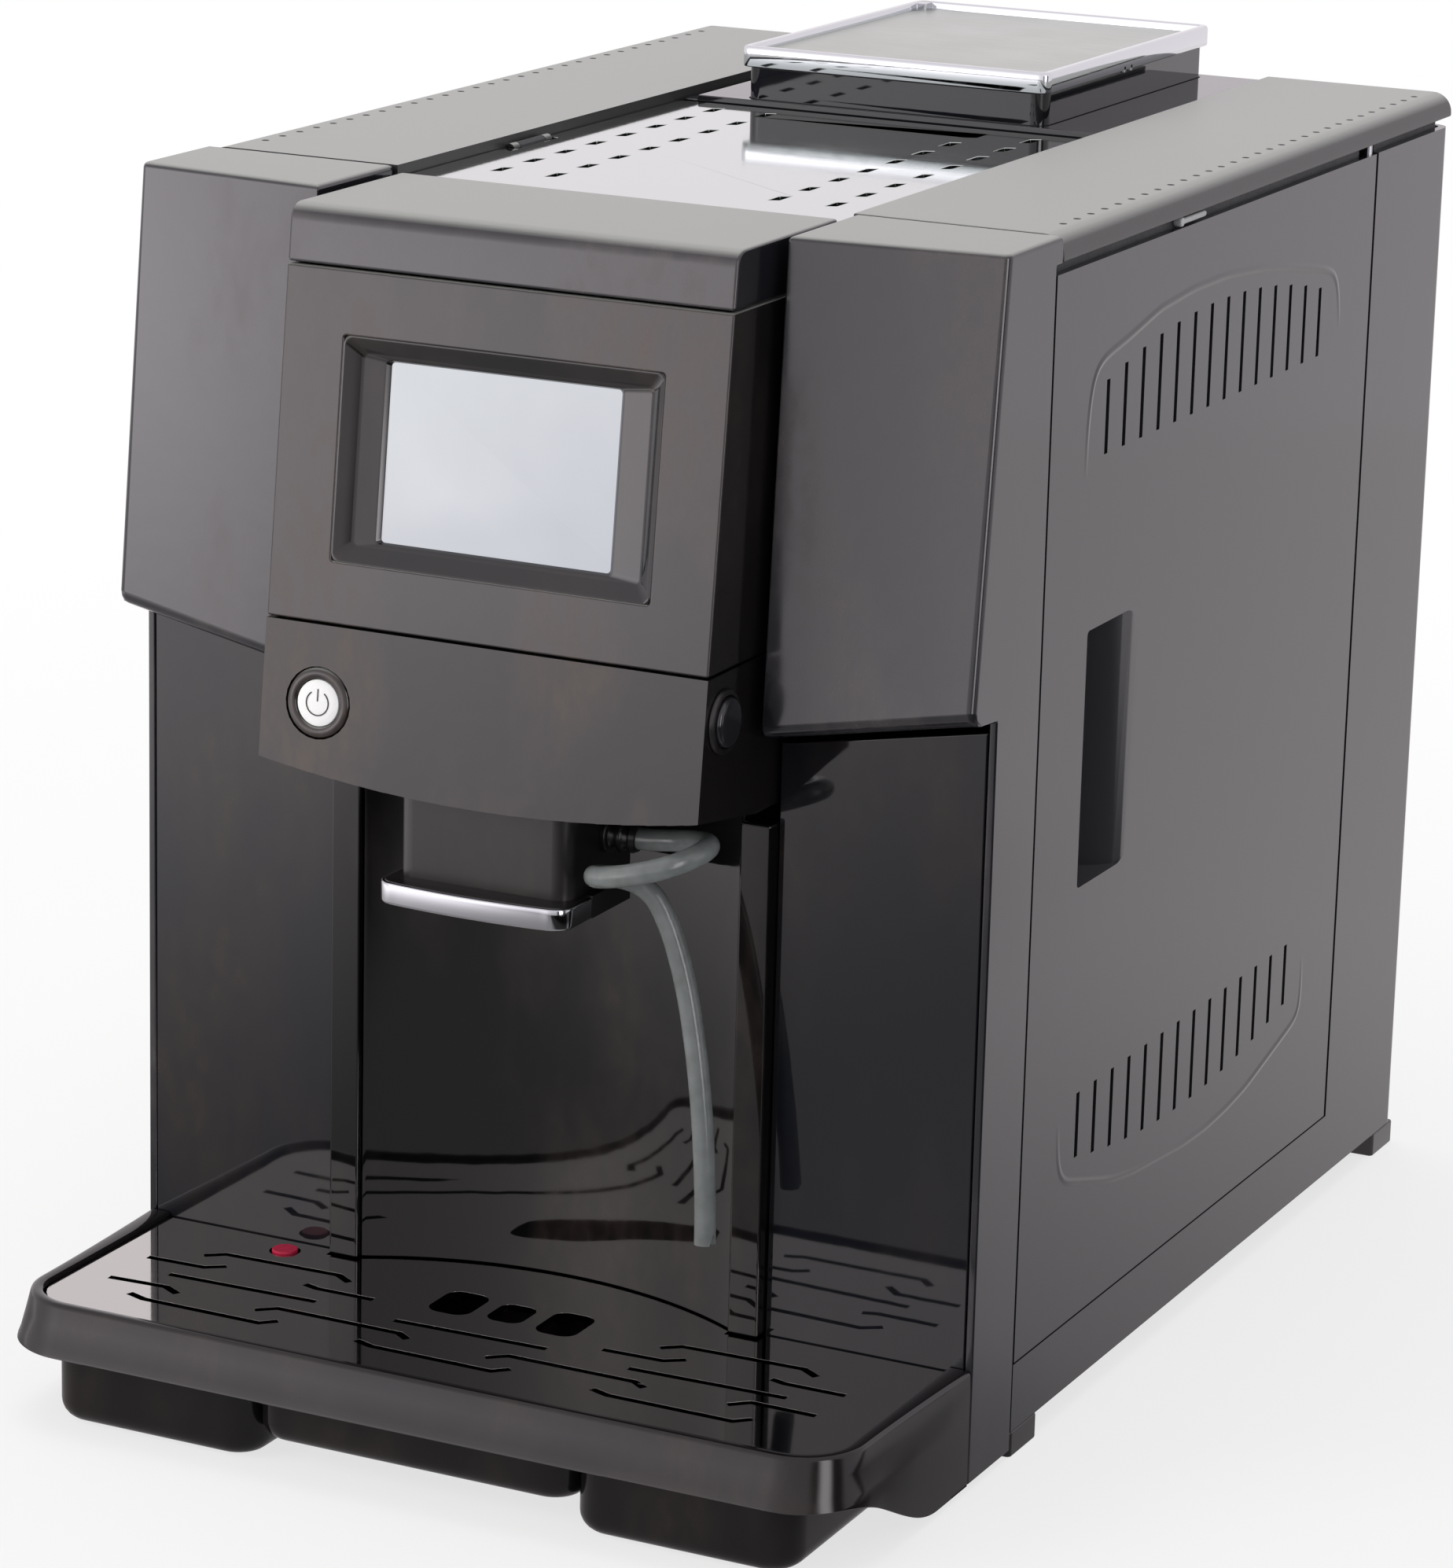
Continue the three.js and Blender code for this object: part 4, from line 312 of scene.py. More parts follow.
@dataclass(frozen=True)
class SpeckledPolymer(Finish):
    """Plain moulded polymer or rubber: two near tones and a fine spark texture that softens it."""

    slot: str = "inner_black"
    colour: str = "262628"
    second: str = "303033"
    roughness: float = 0.6
    grain: float = 0.03
    grain_size: float = 0.9
    # The noise levels of the drift and of the grain, and how far the grain moves the roughness
    drift_size: float = 22.0
    drift_span: Pair = (0.35, 0.65)
    grain_span: Pair = (0.3, 0.7)
    rough_span: Pair = (-0.05, 0.08)

    def shader(self, tree: Tree) -> Node:
        """Colour drifts between two tones and the grain is raised."""
        broad = self.pattern(tree, self.drift_size, 3.0)
        drift = add_node(tree, "MapRange", [broad, *self.drift_span, 0.0, 1.0])
        tones = {0: drift, 6: linear(self.colour), 7: linear(self.second)}
        colour = add_node(tree, "Mix", tones, data_type="RGBA").outputs[2]
        grain = self.pattern(tree, self.grain_size, 3.0)
        dull = [self.roughness + change for change in self.rough_span]
        rough = add_node(tree, "MapRange", [grain, *self.grain_span, *dull])
        normal = add_node(tree, "Bump", {"Distance": self.grain * MM, "Strength": 1.0, "Height": grain})
        look = {"Base Color": colour, "Roughness": rough, "Normal": normal}
        return add_node(tree, "BsdfPrincipled", {"IOR": 1.5, "Specular IOR Level": 0.5, **look})


@dataclass(frozen=True)
class ExtrudedSilicone(Finish):
    """Grey silicone hose, extruded: cloudy through its wall, with a satin skin and fine draw lines."""

    slot: str = "silicone"
    colour: str = "6d7170"
    depth: str = "84888a"
    cloud_size: float = 6.0
    cloud_span: Pair = (0.2, 0.8)
    line_width: float = 0.8
    line_stretch: Place = (1.0, 1.0, 0.1)
    line_rise: float = 0.02

    def shader(self, tree: Tree) -> Node:
        """Light scatters a few millimetres under the skin."""
        broad = self.pattern(tree, self.cloud_size)
        cloud = add_node(tree, "MapRange", [broad, *self.cloud_span, 0.0, 1.0])
        tones = {0: cloud, 6: linear(self.colour), 7: linear(self.depth)}
        lines = self.pattern(tree, self.line_width, 2.0, self.line_stretch)
        drawn = {"Distance": self.line_rise * MM, "Strength": 1.0, "Height": lines}
        return add_node(tree, "BsdfPrincipled", {
            "Base Color": add_node(tree, "Mix", tones, data_type="RGBA").outputs[2],
            "Normal": add_node(tree, "Bump", drawn),
            "Roughness": 0.18,
            "IOR": 1.42,
            "Subsurface Weight": 0.35,
            "Subsurface Radius": (0.9, 1.0, 1.0),
            "Subsurface Scale": 1.5 * MM,
            "Transmission Weight": 0.12,
        })


@dataclass(frozen=True)
class GlowingPanel(Finish):
    """Screen glass over a pale cool field that glows by emission, a little darker towards one corner."""

    slot: str = "screen_glass"
    low: str = "cfd1da"
    high: str = "dfe2e6"
    strength: float = 0.9
    glass: str = "101114"
    # The glow falls over this span of z less this share of x, in metres, and is patchy by this much
    lean: float = -0.6
    fall_span: Pair = (0.25, 0.34)
    patch_size: float = 18.0
    patch_span: Pair = (0.3, 0.7)
    patch_depth: float = 0.08

    def shader(self, tree: Tree) -> Node:
        """The glow falls off along x and z, with a faint patchy unevenness."""
        axes = add_node(tree, "SeparateXYZ", [add_node(tree, "TexCoord").outputs["Object"]]).outputs
        slope = add_node(tree, "Math", [axes["X"], self.lean, axes["Z"]], operation="MULTIPLY_ADD")
        fall = add_node(tree, "MapRange", [slope, *self.fall_span, 0.0, 1.0])
        broad = self.pattern(tree, self.patch_size, 1.0)
        depths = [-self.patch_depth, self.patch_depth]
        patch = add_node(tree, "MapRange", [broad, *self.patch_span, *depths])
        share = add_node(tree, "Math", [fall, patch], operation="ADD", use_clamp=True)
        tones = {0: share, 6: linear(self.low), 7: linear(self.high)}
        return add_node(tree, "BsdfPrincipled", {
            "Base Color": linear(self.glass),
            "Roughness": 0.1,
            "Specular IOR Level": 0.2,
            "Emission Color": add_node(tree, "Mix", tones, data_type="RGBA").outputs[2],
            "Emission Strength": self.strength,
        })


@dataclass(frozen=True)
class ClearPolymer(Finish):
    """Smoked SAN, moulded clear: see-through grey walls with a polished skin."""

    slot: str = "smoked_clear"
    colour: str = "a9b1b5"
    flow_size: float = 12.0
    flow_span: Pair = (0.3, 0.7)
    rough_span: Pair = (0.06, 0.16)

    def shader(self, tree: Tree) -> Node:
        """A tinted glass-like shader whose roughness drifts with the moulding's flow."""
        flow = self.pattern(tree, self.flow_size)
        rough = add_node(tree, "MapRange", [flow, *self.flow_span, *self.rough_span])
        look = {"Base Color": linear(self.colour), "Roughness": rough}
        return add_node(tree, "BsdfPrincipled", {"IOR": 1.5, "Transmission Weight": 0.85, **look})


class Black(Enum):
    """The black plastics of the casing, told apart by their tool's polish and by handling."""

    MIRROR = MouldedAbs("polished ABS", colour="17181d", roughness=0.035)
    BAY = MouldedAbs("polished bay ABS", colour="0b0b0c", roughness=0.03, level=0.45)
    BEZEL = MouldedAbs("polished bezel ABS", colour="161617", roughness=0.07)
    # HAZED, WING and DECK carry a painted sheen: their upward faces are painted a lighter grey
    HAZED = MouldedAbs(
        "handled ABS", colour="1c1a1b", haze_colour="443b37", roughness=0.09, haze=0.7,
        top_roughness=0.42, painted_top_sheen="858683", level=0.43,
    )
    BUTTON_PANEL = MouldedAbs(
        "handled lower ABS", colour="191718", haze_colour="40372f", roughness=0.09, haze=0.5, level=0.36
    )
    WING = MouldedAbs(
        "handled wing ABS", colour="1e1e23", haze_colour="403c3d", roughness=0.11, haze=0.8,
        top_roughness=0.42, painted_top_sheen="8a8b88", level=0.56,
    )
    PANEL = MouldedAbs("side panel ABS", colour="222226", haze_colour="28292d", roughness=0.13, haze=0.15)
    FOOT = MouldedAbs("foot polymer", "rubber", "161618", "1e1e20", roughness=0.2)
    DECK = MouldedAbs(
        "satin deck ABS", "satin_black", "2a2a2a", "302f2e", roughness=0.4,
        top_roughness=0.4, painted_top_sheen="8b8c89", grain=0.03,
    )
    SATIN = MouldedAbs("satin ABS", "satin_black", "1a1819", "2a2624", roughness=0.32, grain=0.015)
    TRAY = MouldedAbs(
        "tray ABS", colour="131112", haze_colour="2a2320", roughness=0.1, haze=0.5, level=0.34
    )
    INNER = SpeckledPolymer("matt ABS")


class Bright(Enum):
    """Plated and metal finishes."""

    CHROME = PlatedChrome("chrome plating", colour="babcc0")
    LID_SIDE = PlatedChrome("chrome plating of the lid", colour="d2d5d8", roughness=0.07, wave=0.05)
    PLATE = SheetSteel("polished steel sheet")
    INSET = SheetSteel(
        "brushed lid sheet", slot="chrome", colour="bfc3bd", roughness=0.34, hairline=0.02, spread=0.12
    )
    GRILLE = SheetSteel("polished grille sheet", colour="bcbab6", roughness=0.04)
    STEEL = SheetSteel("plated steel", slot="steel", colour="a5a7aa", roughness=0.28, stretch=(1, 1, 0.1))


class Plain(Enum):
    """Rubber, ceramic, lacquer and the small coloured pieces."""

    RUBBER = SpeckledPolymer("moulded rubber", "rubber", "161616", "1d1d1d", 0.8, 0.04)
    HOSE = ExtrudedSilicone("extruded silicone")
    SCREEN = GlowingPanel("glowing screen glass")
    CLEAR = ClearPolymer("smoked SAN")
    BOARD = SpeckledPolymer("lacquered board", "circuit_board", "1f4a33", "2a5a3e", 0.5, 0.02, 2.0)
    CERAMIC = SpeckledPolymer("fired ceramic", "ceramic", "d9d4c8", "cdc7b9", 0.45, 0.02)
    PALE = SpeckledPolymer("pale acetal", "pale_grey", "a4a4a6", "b4b4b6", 0.42, 0.01)
    FLOAT = SpeckledPolymer("crimson polypropylene", "crimson", "c2254a", "b81f43", 0.42, 0.02)
    LIT_CAP = SpeckledPolymer("lit button cap", "satin_black", "f4f4f4", "ececee", 0.3, 0.0)
    SYMBOL = SpeckledPolymer("printed symbol line", "satin_black", "33312f", "2c2a29", 0.5, 0.0)


FINISH_OF_SLOT: dict[str, Enum] = {
    "piano_black": Black.PANEL,
    "satin_black": Black.SATIN,
    "inner_black": Black.INNER,
    "chrome": Bright.CHROME,
    "mirror_steel": Bright.PLATE,
    "steel": Bright.STEEL,
    "rubber": Plain.RUBBER,
    "smoked_clear": Plain.CLEAR,
    "silicone": Plain.HOSE,
    "screen_glass": Plain.SCREEN,
    "circuit_board": Plain.BOARD,
    "ceramic": Plain.CERAMIC,
    "pale_grey": Plain.PALE,
    "crimson": Plain.FLOAT,
}


# Surfaces


def loop(x: Pair, y: Pair, radius: float, steps: int = 8, z: float = 0.0) -> Array:
    """Outline of a rectangle with round corners: four quarter circles joined by straight sides.

    Args:
        x: Low and high x.
        y: Low and high y.
        radius: Corner radius.
        steps: Pieces of each quarter circle.
        z: Level of every point.

    Returns:
        Four times steps + 1 points, anticlockwise from the right side.
    """
    turn = np.linspace(0, np.pi / 2, steps + 1)
    angle = (np.arange(4)[:, None] * np.pi / 2 + turn).ravel()
    middle_x = np.repeat([x[1] - radius, x[0] + radius, x[0] + radius, x[1] - radius], steps + 1)
    middle_y = np.repeat([y[1] - radius, y[1] - radius, y[0] + radius, y[0] + radius], steps + 1)
    return np.column_stack(
        [middle_x + radius * np.cos(angle), middle_y + radius * np.sin(angle), np.full(angle.size, z)]
    )


def on_head(points: Array, level: float) -> Array:
    """Carries points from the head's front plane into the machine: x stays across, y runs inward
    from the plane and z up along it, all turned back by the head's lean about x.

    Args:
        points: Places on the plane, in millimetres.
        level: Height of the plane's own origin.

    Returns:
        Places in the machine's millimetres.
    """
    x, y, z = np.asarray(points, float).reshape(-1, 3).T
    front = -HEAD_NOSE + (level - NOSE_LEVEL) * math.tan(HEAD_LEAN)
    cos, sin = math.cos(HEAD_LEAN), math.sin(HEAD_LEAN)
    placed = np.column_stack([x, front + y * cos + z * sin, level - y * sin + z * cos])
    return placed.reshape(np.shape(points))


@dataclass
class Surface:
    """Collects the grids and plates of one piece before they become a mesh."""

    points: list[Array] = field(default_factory=list)
    faces: list[list[int]] = field(default_factory=list)
    count: int = 0

    def grid(
        self, rows: Sequence[Array], caps: tuple[bool, bool] = (True, True), ring: bool = False
    ) -> "Surface":
        """Adds a skin over closed rows of points: a band of squares joins each row to the next.

        Args:
            rows: Rows with the same number of points.
            caps: Whether the first and last rows are closed by a flat face.
            ring: Whether the last row joins the first.

        Returns:
            This surface.
        """
        table = np.asarray(rows, float)
        high, wide = table.shape[:2]
        index = self.count + np.arange(high * wide).reshape(high, wide)
        low = index if ring else index[:-1]
        up = np.roll(index, -1, 0) if ring else index[1:]
        quads = np.stack([low, np.roll(low, -1, 1), np.roll(up, -1, 1), up], -1)
        self.faces += quads.reshape(-1, 4).tolist()
        if caps[0] and not ring:
            self.faces.append(index[0, ::-1].tolist())
        if caps[1] and not ring:
            self.faces.append(index[-1].tolist())
        self.points.append(table.reshape(-1, 3))
        self.count += high * wide
        return self

    def slab(self, outline: Array, low: float, high: float) -> "Surface":
        """Adds an upright plate: the outline at the low level, the same at the high one, both closed."""
        flat = np.asarray(outline, float)[:, :2]
        rows = [np.column_stack([flat, np.full(len(flat), level)]) for level in (low, high)]
        return self.grid(rows)

    def turned(self, profile: Sequence[Pair], centre: Place, axis: str, sides: int) -> "Surface":
        """Adds a turned form: each pair of radius and travel becomes a circle about an axis.

        Args:
            profile: Radius and place along the axis, from one end to the other.
            centre: Where the axis starts.
            axis: "x" or "y".
            sides: Points of each circle.

        Returns:
            This surface.
        """
        radius, travel = np.asarray(profile, float).T
        angle = np.linspace(0, 2 * np.pi, sides, endpoint=False)
        across = radius[:, None] * np.cos(angle)
        upward = radius[:, None] * np.sin(angle)
        along = np.broadcast_to(travel[:, None], across.shape)
        order = {"x": (along, across, upward), "y": (across, along, upward)}[axis]
        return self.grid(np.stack(order, -1) + np.asarray(centre, float))

    def moved(self, change: Callable[[Array], Array]) -> "Surface":
        """Puts every grid through a function of points."""
        self.points = [change(block) for block in self.points]
        return self


@dataclass(frozen=True)
class Placing:
    """Where a piece belongs: its body, the nodes that it stands for, and how its edges are finished."""

    body: str = "root"
    replaces: tuple[str, ...] = ()
    bevel: float = 0.0
    segments: int = 2
    sharp: float = 32.0


def finished(mesh: bpy.types.Mesh, name: str, finish: Enum, placing: Placing) -> bpy.types.Object:
    """Makes an object of a mesh: shading, edge rounding, material and body.

    Args:
        mesh: The mesh, already in metres of the frame.
        name: The piece's name.
        finish: A member of one of the finish lists.
        placing: Its body and edges.

    Returns:
        The object.
    """
    mesh.polygons.foreach_set("use_smooth", np.ones(len(mesh.polygons), bool))
    if not placing.bevel:
        mesh.set_sharp_from_angle(angle=math.radians(placing.sharp))
    mesh.materials.clear()
    mesh.materials.append(finish.value.material())
    piece = bpy.data.objects.new(name, mesh)
    bpy.context.scene.collection.objects.link(piece)
    if placing.bevel:
        edge = piece.modifiers.new("edge", "BEVEL")
        edge.width = placing.bevel * MM
        edge.segments = placing.segments
        edge.limit_method = "ANGLE"
        edge.angle_limit = math.radians(placing.sharp)
        edge.miter_outer = "MITER_ARC"
        flat = piece.modifiers.new("flat", "WEIGHTED_NORMAL")
        flat.weight = BY_AREA
    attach(piece, placing.body)
    if placing.replaces:
        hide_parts(*placing.replaces)
    log.info("%s: %d faces, %s", name, len(mesh.polygons), finish.value.title)
    return piece


def dressed(surface: Surface, name: str, finish: Enum, placing: Placing) -> bpy.types.Object:
    """Turns a surface into a piece, with its doubles merged and its faces pointing outwards.

    Args:
        surface: Grids and plates in the machine's millimetres.
        name: The piece's name.
        finish: A member of one of the finish lists.
        placing: Its body and edges.

    Returns:
        The object.
    """
    mesh = bpy.data.meshes.new(name)
    mesh.from_pydata(row_frame(np.vstack(surface.points)).tolist(), [], surface.faces)
    solid = bmesh.new()
    solid.from_mesh(mesh)
    bmesh.ops.remove_doubles(solid, verts=solid.verts, dist=WELD)
    bmesh.ops.recalc_face_normals(solid, faces=solid.faces)
    solid.to_mesh(mesh)
    solid.free()
    return finished(mesh, name, finish, placing)


def shell(
    node: str,
    finish: Enum,
    bevel: float,
    segments: int = 2,
    flatten: float | None = None,
    merge: bool = True,
    smooth: bool = True,
    band: Place | None = None,
    clamp: bool = True,
) -> None:
    """Copies a node's solid, merges its loose triangles into flat faces and rounds its edges.

    Args:
        node: The node that the shell stands for.
        finish: A member of one of the finish lists.
        bevel: Width of the rounded edges in millimetres.
        segments: Steps of each rounded edge.
        flatten: Where given, no point lies further right than this, in millimetres.
        merge: Whether triangles in one plane become one face.
        smooth: Whether the faces are shaded smooth.
        band: Where given, edges between two levels get the wider bevel that follows them, all in
            millimetres.
        clamp: Whether rounded edges stop where they would meet.
    """
    source = frame["nodes"][node]
    solid = bmesh.new()
    solid.from_mesh(source.data)
    bmesh.ops.remove_doubles(solid, verts=solid.verts, dist=WELD)
    if merge:
        bmesh.ops.dissolve_limit(
            solid, angle_limit=IN_PLANE, verts=solid.verts, edges=solid.edges, use_dissolve_boundaries=False
        )
    placing = Placing(source["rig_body"], (node,), bevel, segments)
    if band:
        low, high, wide = band
        placing = replace(placing, bevel=wide)
        weights = solid.edges.layers.float.new("bevel_weight_edge")
        for edge in solid.edges:
            within = all(low * MM < vertex.co.z < high * MM for vertex in edge.verts)
            rounded = edge.calc_face_angle(0.0) > math.radians(placing.sharp)
            edge[weights] = (1.0 if within else bevel / wide) * rounded
    mesh = bpy.data.meshes.new(node + "_shell")
    solid.to_mesh(mesh)
    solid.free()
    if flatten is not None:
        places = np.zeros(len(mesh.vertices) * 3)
        mesh.vertices.foreach_get("co", places)
        places[::3] = np.minimum(places[::3], flatten * MM)
        mesh.vertices.foreach_set("co", places)
    piece = finished(mesh, node + "_shell", finish, placing)
    if not smooth:
        piece.data.polygons.foreach_set("use_smooth", np.zeros(len(piece.data.polygons), bool))
    if band:
        piece.modifiers["edge"].limit_method = "WEIGHT"
        piece.modifiers["edge"].use_clamp_overlap = clamp


# Camera, floor and light


@dataclass(frozen=True)
class Softbox:
    """A lamp panel: where it stands, where it looks, its size in metres and its brightness."""

    title: str
    place: Place
    aim: Place
    size: Pair
    strength: float
    tint: Place


@dataclass
class Studio:
    """A plain pale floor without end, soft panels and the camera of the photograph."""

    camera_place: Place = (0.7388, -1.5456, 0.6340)
    yaw: float = 25.86
    pitch: float = 15.39
    roll: float = 1.45
    focal_pixels: float = 7146.8
    long_side: float = 1994.0
    sensor: float = 36.0
    ambient: float = 0.55
    panels: tuple[Softbox, ...] = (
        Softbox("front_left", (-1.5, -1.5, 0.75), (0.0, -0.1, 0.25), (1.3, 1.5), 4.2, (1.0, 0.97, 0.94)),
        Softbox("overhead", (-0.2, 0.35, 1.7), (0.0, 0.0, 0.2), (1.8, 1.3), 2.2, (1.0, 1.0, 1.0)),
        Softbox("right_fill", (1.9, 0.4, 0.9), (0.0, 0.0, 0.2), (1.2, 1.2), 0.8, (0.95, 0.97, 1.0)),
    )
    # What gloss sees far out: a soft lamp at this azimuth and elevation that fades by a factor of e
    # in each spread, a fall off below the horizon in front, and a dark half open doorway with a
    # bright slit on the right
    gloss_tint: tuple[float, ...] = (1.0, 0.945, 0.985, 1.0)
    glow_at: Pair = (-36.0, -1.0)
    glow_spread: float = 13.0
    glow_peak: float = 4.5
    fall_span: Pair = (-10.0, -1.5)
    fall_ahead: Pair = (-0.3, 0.1)
    fall_level: float = 0.45
    dark_at: Pair = (66.0, 5.0)
    dark_span: Pair = (20.0, 32.0)
    dark_left: float = 0.12
    slit_at: float = 64.0
    slit_span: Pair = (3.0, 14.0)
    slit_level: float = 6.5
    # The floor: its rings in metres, and where and from what share on it turns into the surrounding
    floor_rings: Place = (0.4, 0.9, 1.5)
    floor_sides: int = 96
    fade_span: Pair = (0.35, 1.1)
    fade_near: float = 0.72
    floor_paint: tuple[float, ...] = (0.8, 0.8, 0.8, 1.0)
    # What gloss sees of the floor: dim near the object, lit towards a place in front on the left
    floor_tint: tuple[float, ...] = (1.0, 0.95, 0.97, 1.0)
    lit_place: Place = (-1.2, -0.9, 0.0)
    lit_span: Pair = (0.4, 1.25)
    lit_rise: float = 1.75
    near_level: float = 0.38
    rear_level: float = 0.95
    depth_span: Pair = (-0.25, 0.5)
    # Two dark zones of the floor: span across, span in depth and the share that it loses
    dark_zones: tuple[tuple[Pair, Pair, float], ...] = (
        ((0.08, 0.25), (-0.15, 0.0), 0.9),
        ((0.32, 0.55), (0.3, 0.6), 0.88),
    )

    def toward(self, place: Pair) -> Place:
        """Direction at an azimuth from straight ahead and an elevation, in degrees."""
        turn, rise = (math.radians(v) for v in place)
        return (math.sin(turn) * math.cos(rise), -math.cos(turn) * math.cos(rise), math.sin(rise))

    def camera(self) -> None:
        """Sets the camera by yaw about z, pitch above the horizon and roll about its own axis."""
        turn, tilt = math.radians(self.yaw), math.radians(self.roll)
        back = np.array(self.toward((self.yaw, self.pitch)))
        across = np.array([math.cos(turn), math.sin(turn), 0.0])
        above = np.cross(back, across)
        right = math.cos(tilt) * across + math.sin(tilt) * above
        up = -math.sin(tilt) * across + math.cos(tilt) * above
        data = bpy.data.cameras.new("camera")
        data.sensor_width = self.sensor
        data.lens = self.focal_pixels / self.long_side * self.sensor
        eye = bpy.data.objects.new("camera", data)
        turned = Matrix(np.column_stack([right, up, back]).tolist()).to_4x4()
        eye.matrix_world = Matrix.Translation(self.camera_place) @ turned
        bpy.context.scene.collection.objects.link(eye)
        bpy.context.scene.camera = eye

    def away(self, tree: Tree, place: Pair) -> Node:
        """Angle in radians between a ray's direction and a place in the surrounding.

        Args:
            tree: The world's node tree.
            place: Azimuth and elevation in degrees.

        Returns:
            The node whose first output is the angle.
        """
        ray = add_node(tree, "TexCoord").outputs["Generated"]
        dot = add_node(tree, "VectorMath", [ray, self.toward(place)], operation="DOT_PRODUCT")
        return add_node(tree, "Math", [dot.outputs["Value"]], operation="ARCCOSINE")

    def doorway(self, tree: Tree) -> Node:
        """The dark half open doorway: a dim round field with a bright upright slit in it.

        Args:
            tree: The world's node tree.

        Returns:
            The node whose first output is the factor that it puts on the surrounding.
        """
        span = [math.radians(v) for v in self.dark_span]
        round_field = [self.away(tree, self.dark_at), *span, self.dark_left, 1.0]
        dark = add_node(tree, "MapRange", round_field, **SMOOTH)
        across = self.away(tree, (self.slit_at + 90.0, 0.0))
        off = add_node(tree, "Math", [across, math.pi / 2], operation="SUBTRACT")
        aside = add_node(tree, "Math", [off], operation="ABSOLUTE")
        span = [math.radians(v) for v in self.slit_span]
        slit = add_node(tree, "MapRange", [aside, *span, self.slit_level, 0.0], **SMOOTH)
        within = add_node(tree, "Math", [1.0, dark], operation="SUBTRACT")
        return add_node(tree, "Math", [slit, within, dark], operation="MULTIPLY_ADD")

    def world(self) -> None:
        """The surrounding: white for the camera, dimmer for diffuse light, and for gloss a pale field
        with the soft lamp on the left, and the dark doorway with its slit on the right."""
        world = bpy.data.worlds.new("studio")
        world.use_nodes = True
        tree = world.node_tree
        tree.nodes.clear()
        rate = -1.0 / math.radians(self.glow_spread)
        faded = add_node(tree, "Math", [self.away(tree, self.glow_at), rate], operation="MULTIPLY")
        glow = add_node(tree, "Math", [faded], operation="EXPONENT")
        lamp = add_node(tree, "Math", [glow, self.glow_peak, 1.0], operation="MULTIPLY_ADD")
        ray = add_node(tree, "TexCoord").outputs["Generated"]
        axes = add_node(tree, "SeparateXYZ", [ray]).outputs
        rise = [math.sin(math.radians(v)) for v in self.fall_span]
        below = add_node(tree, "MapRange", [axes["Z"], *rise, 1.0 - self.fall_level, 0.0], **SMOOTH)
        ahead = add_node(tree, "MapRange", [axes["Y"], *self.fall_ahead, -1.0, 0.0], **SMOOTH)
        kept = add_node(tree, "Math", [below, ahead, 1.0], operation="MULTIPLY_ADD")
        lit = add_node(tree, "Math", [lamp, kept], operation="MULTIPLY")
        gloss = add_node(tree, "Math", [lit, self.doorway(tree)], operation="MULTIPLY")
        path = add_node(tree, "LightPath").outputs
        dim = add_node(tree, "Background", [WHITE, self.ambient])
        shine = add_node(tree, "Background", [self.gloss_tint, gloss])
        shiny = add_node(tree, "MixShader", [path["Is Glossy Ray"], dim, shine])
        seen = [path["Is Camera Ray"], path["Is Transmission Ray"]]
        clear = add_node(tree, "Math", seen, operation="MAXIMUM")
        white = add_node(tree, "Background", [WHITE, 1.0])
        add_node(tree, "OutputWorld", [add_node(tree, "MixShader", [clear, shiny, white])])
        bpy.context.scene.world = world

    def floor_gloss(self, tree: Tree, places: bpy.types.NodeSocket) -> Node:
        """Brightness of the floor as gloss sees it: dim in front, fair behind, lit on the front left,
        and almost dark on the front right and far out on the right.

        Args:
            tree: The floor's node tree.
            places: Object coordinates.

        Returns:
            The node whose first output is the brightness.
        """
        axes = add_node(tree, "SeparateXYZ", [places]).outputs
        levels = [axes["Y"], *self.depth_span, self.near_level, self.rear_level]
        base = add_node(tree, "MapRange", levels, **SMOOTH)
        off = add_node(tree, "VectorMath", [places, self.lit_place], operation="DISTANCE")
        glow = [off.outputs["Value"], *self.lit_span, self.lit_rise, 0.0]
        lit = add_node(tree, "MapRange", glow, **SMOOTH)
        bright = add_node(tree, "Math", [base, lit], operation="ADD")
        for wide, deep, loss in self.dark_zones:
            aside = add_node(tree, "MapRange", [axes["X"], *wide, 0.0, loss], **SMOOTH)
            ahead = add_node(tree, "MapRange", [axes["Y"], *deep, 1.0, 0.0], **SMOOTH)
            zone = add_node(tree, "Math", [aside, ahead], operation="MULTIPLY")
            kept = add_node(tree, "Math", [1.0, zone], operation="SUBTRACT")
            bright = add_node(tree, "Math", [bright, kept], operation="MULTIPLY")
        return bright

    def floor(self) -> None:
        """A round floor, 1.5 m out, that is matt white near the object and fades into the surrounding."""
        angle = np.linspace(0, 2 * np.pi, self.floor_sides, endpoint=False)
        ring = np.column_stack([np.cos(angle), np.sin(angle), np.zeros(self.floor_sides)])
        surface = Surface().grid(ring * np.array(self.floor_rings)[:, None, None], (True, False))
        mesh = bpy.data.meshes.new("floor")
        mesh.from_pydata(np.vstack(surface.points).tolist(), [], surface.faces)
        mesh.flip_normals()
        plate = bpy.data.objects.new("floor", mesh)
        bpy.context.scene.collection.objects.link(plate)
        material = bpy.data.materials.new("matt white floor")
        material.use_nodes = True
        tree = material.node_tree
        tree.nodes.clear()
        places = add_node(tree, "TexCoord").outputs["Object"]
        length = add_node(tree, "VectorMath", [places], operation="LENGTH").outputs["Value"]
        far = add_node(tree, "MapRange", [length, *self.fade_span, self.fade_near, 1.0], **SMOOTH)
        path = add_node(tree, "LightPath").outputs
        share = add_node(tree, "Math", [path["Is Camera Ray"], far], operation="MULTIPLY")
        paint = add_node(tree, "BsdfDiffuse", [self.floor_paint])
        white = add_node(tree, "Emission", [WHITE, 1.0])
        seen = add_node(tree, "MixShader", [share, paint, white])
        dim = add_node(tree, "Emission", [self.floor_tint, self.floor_gloss(tree, places)])
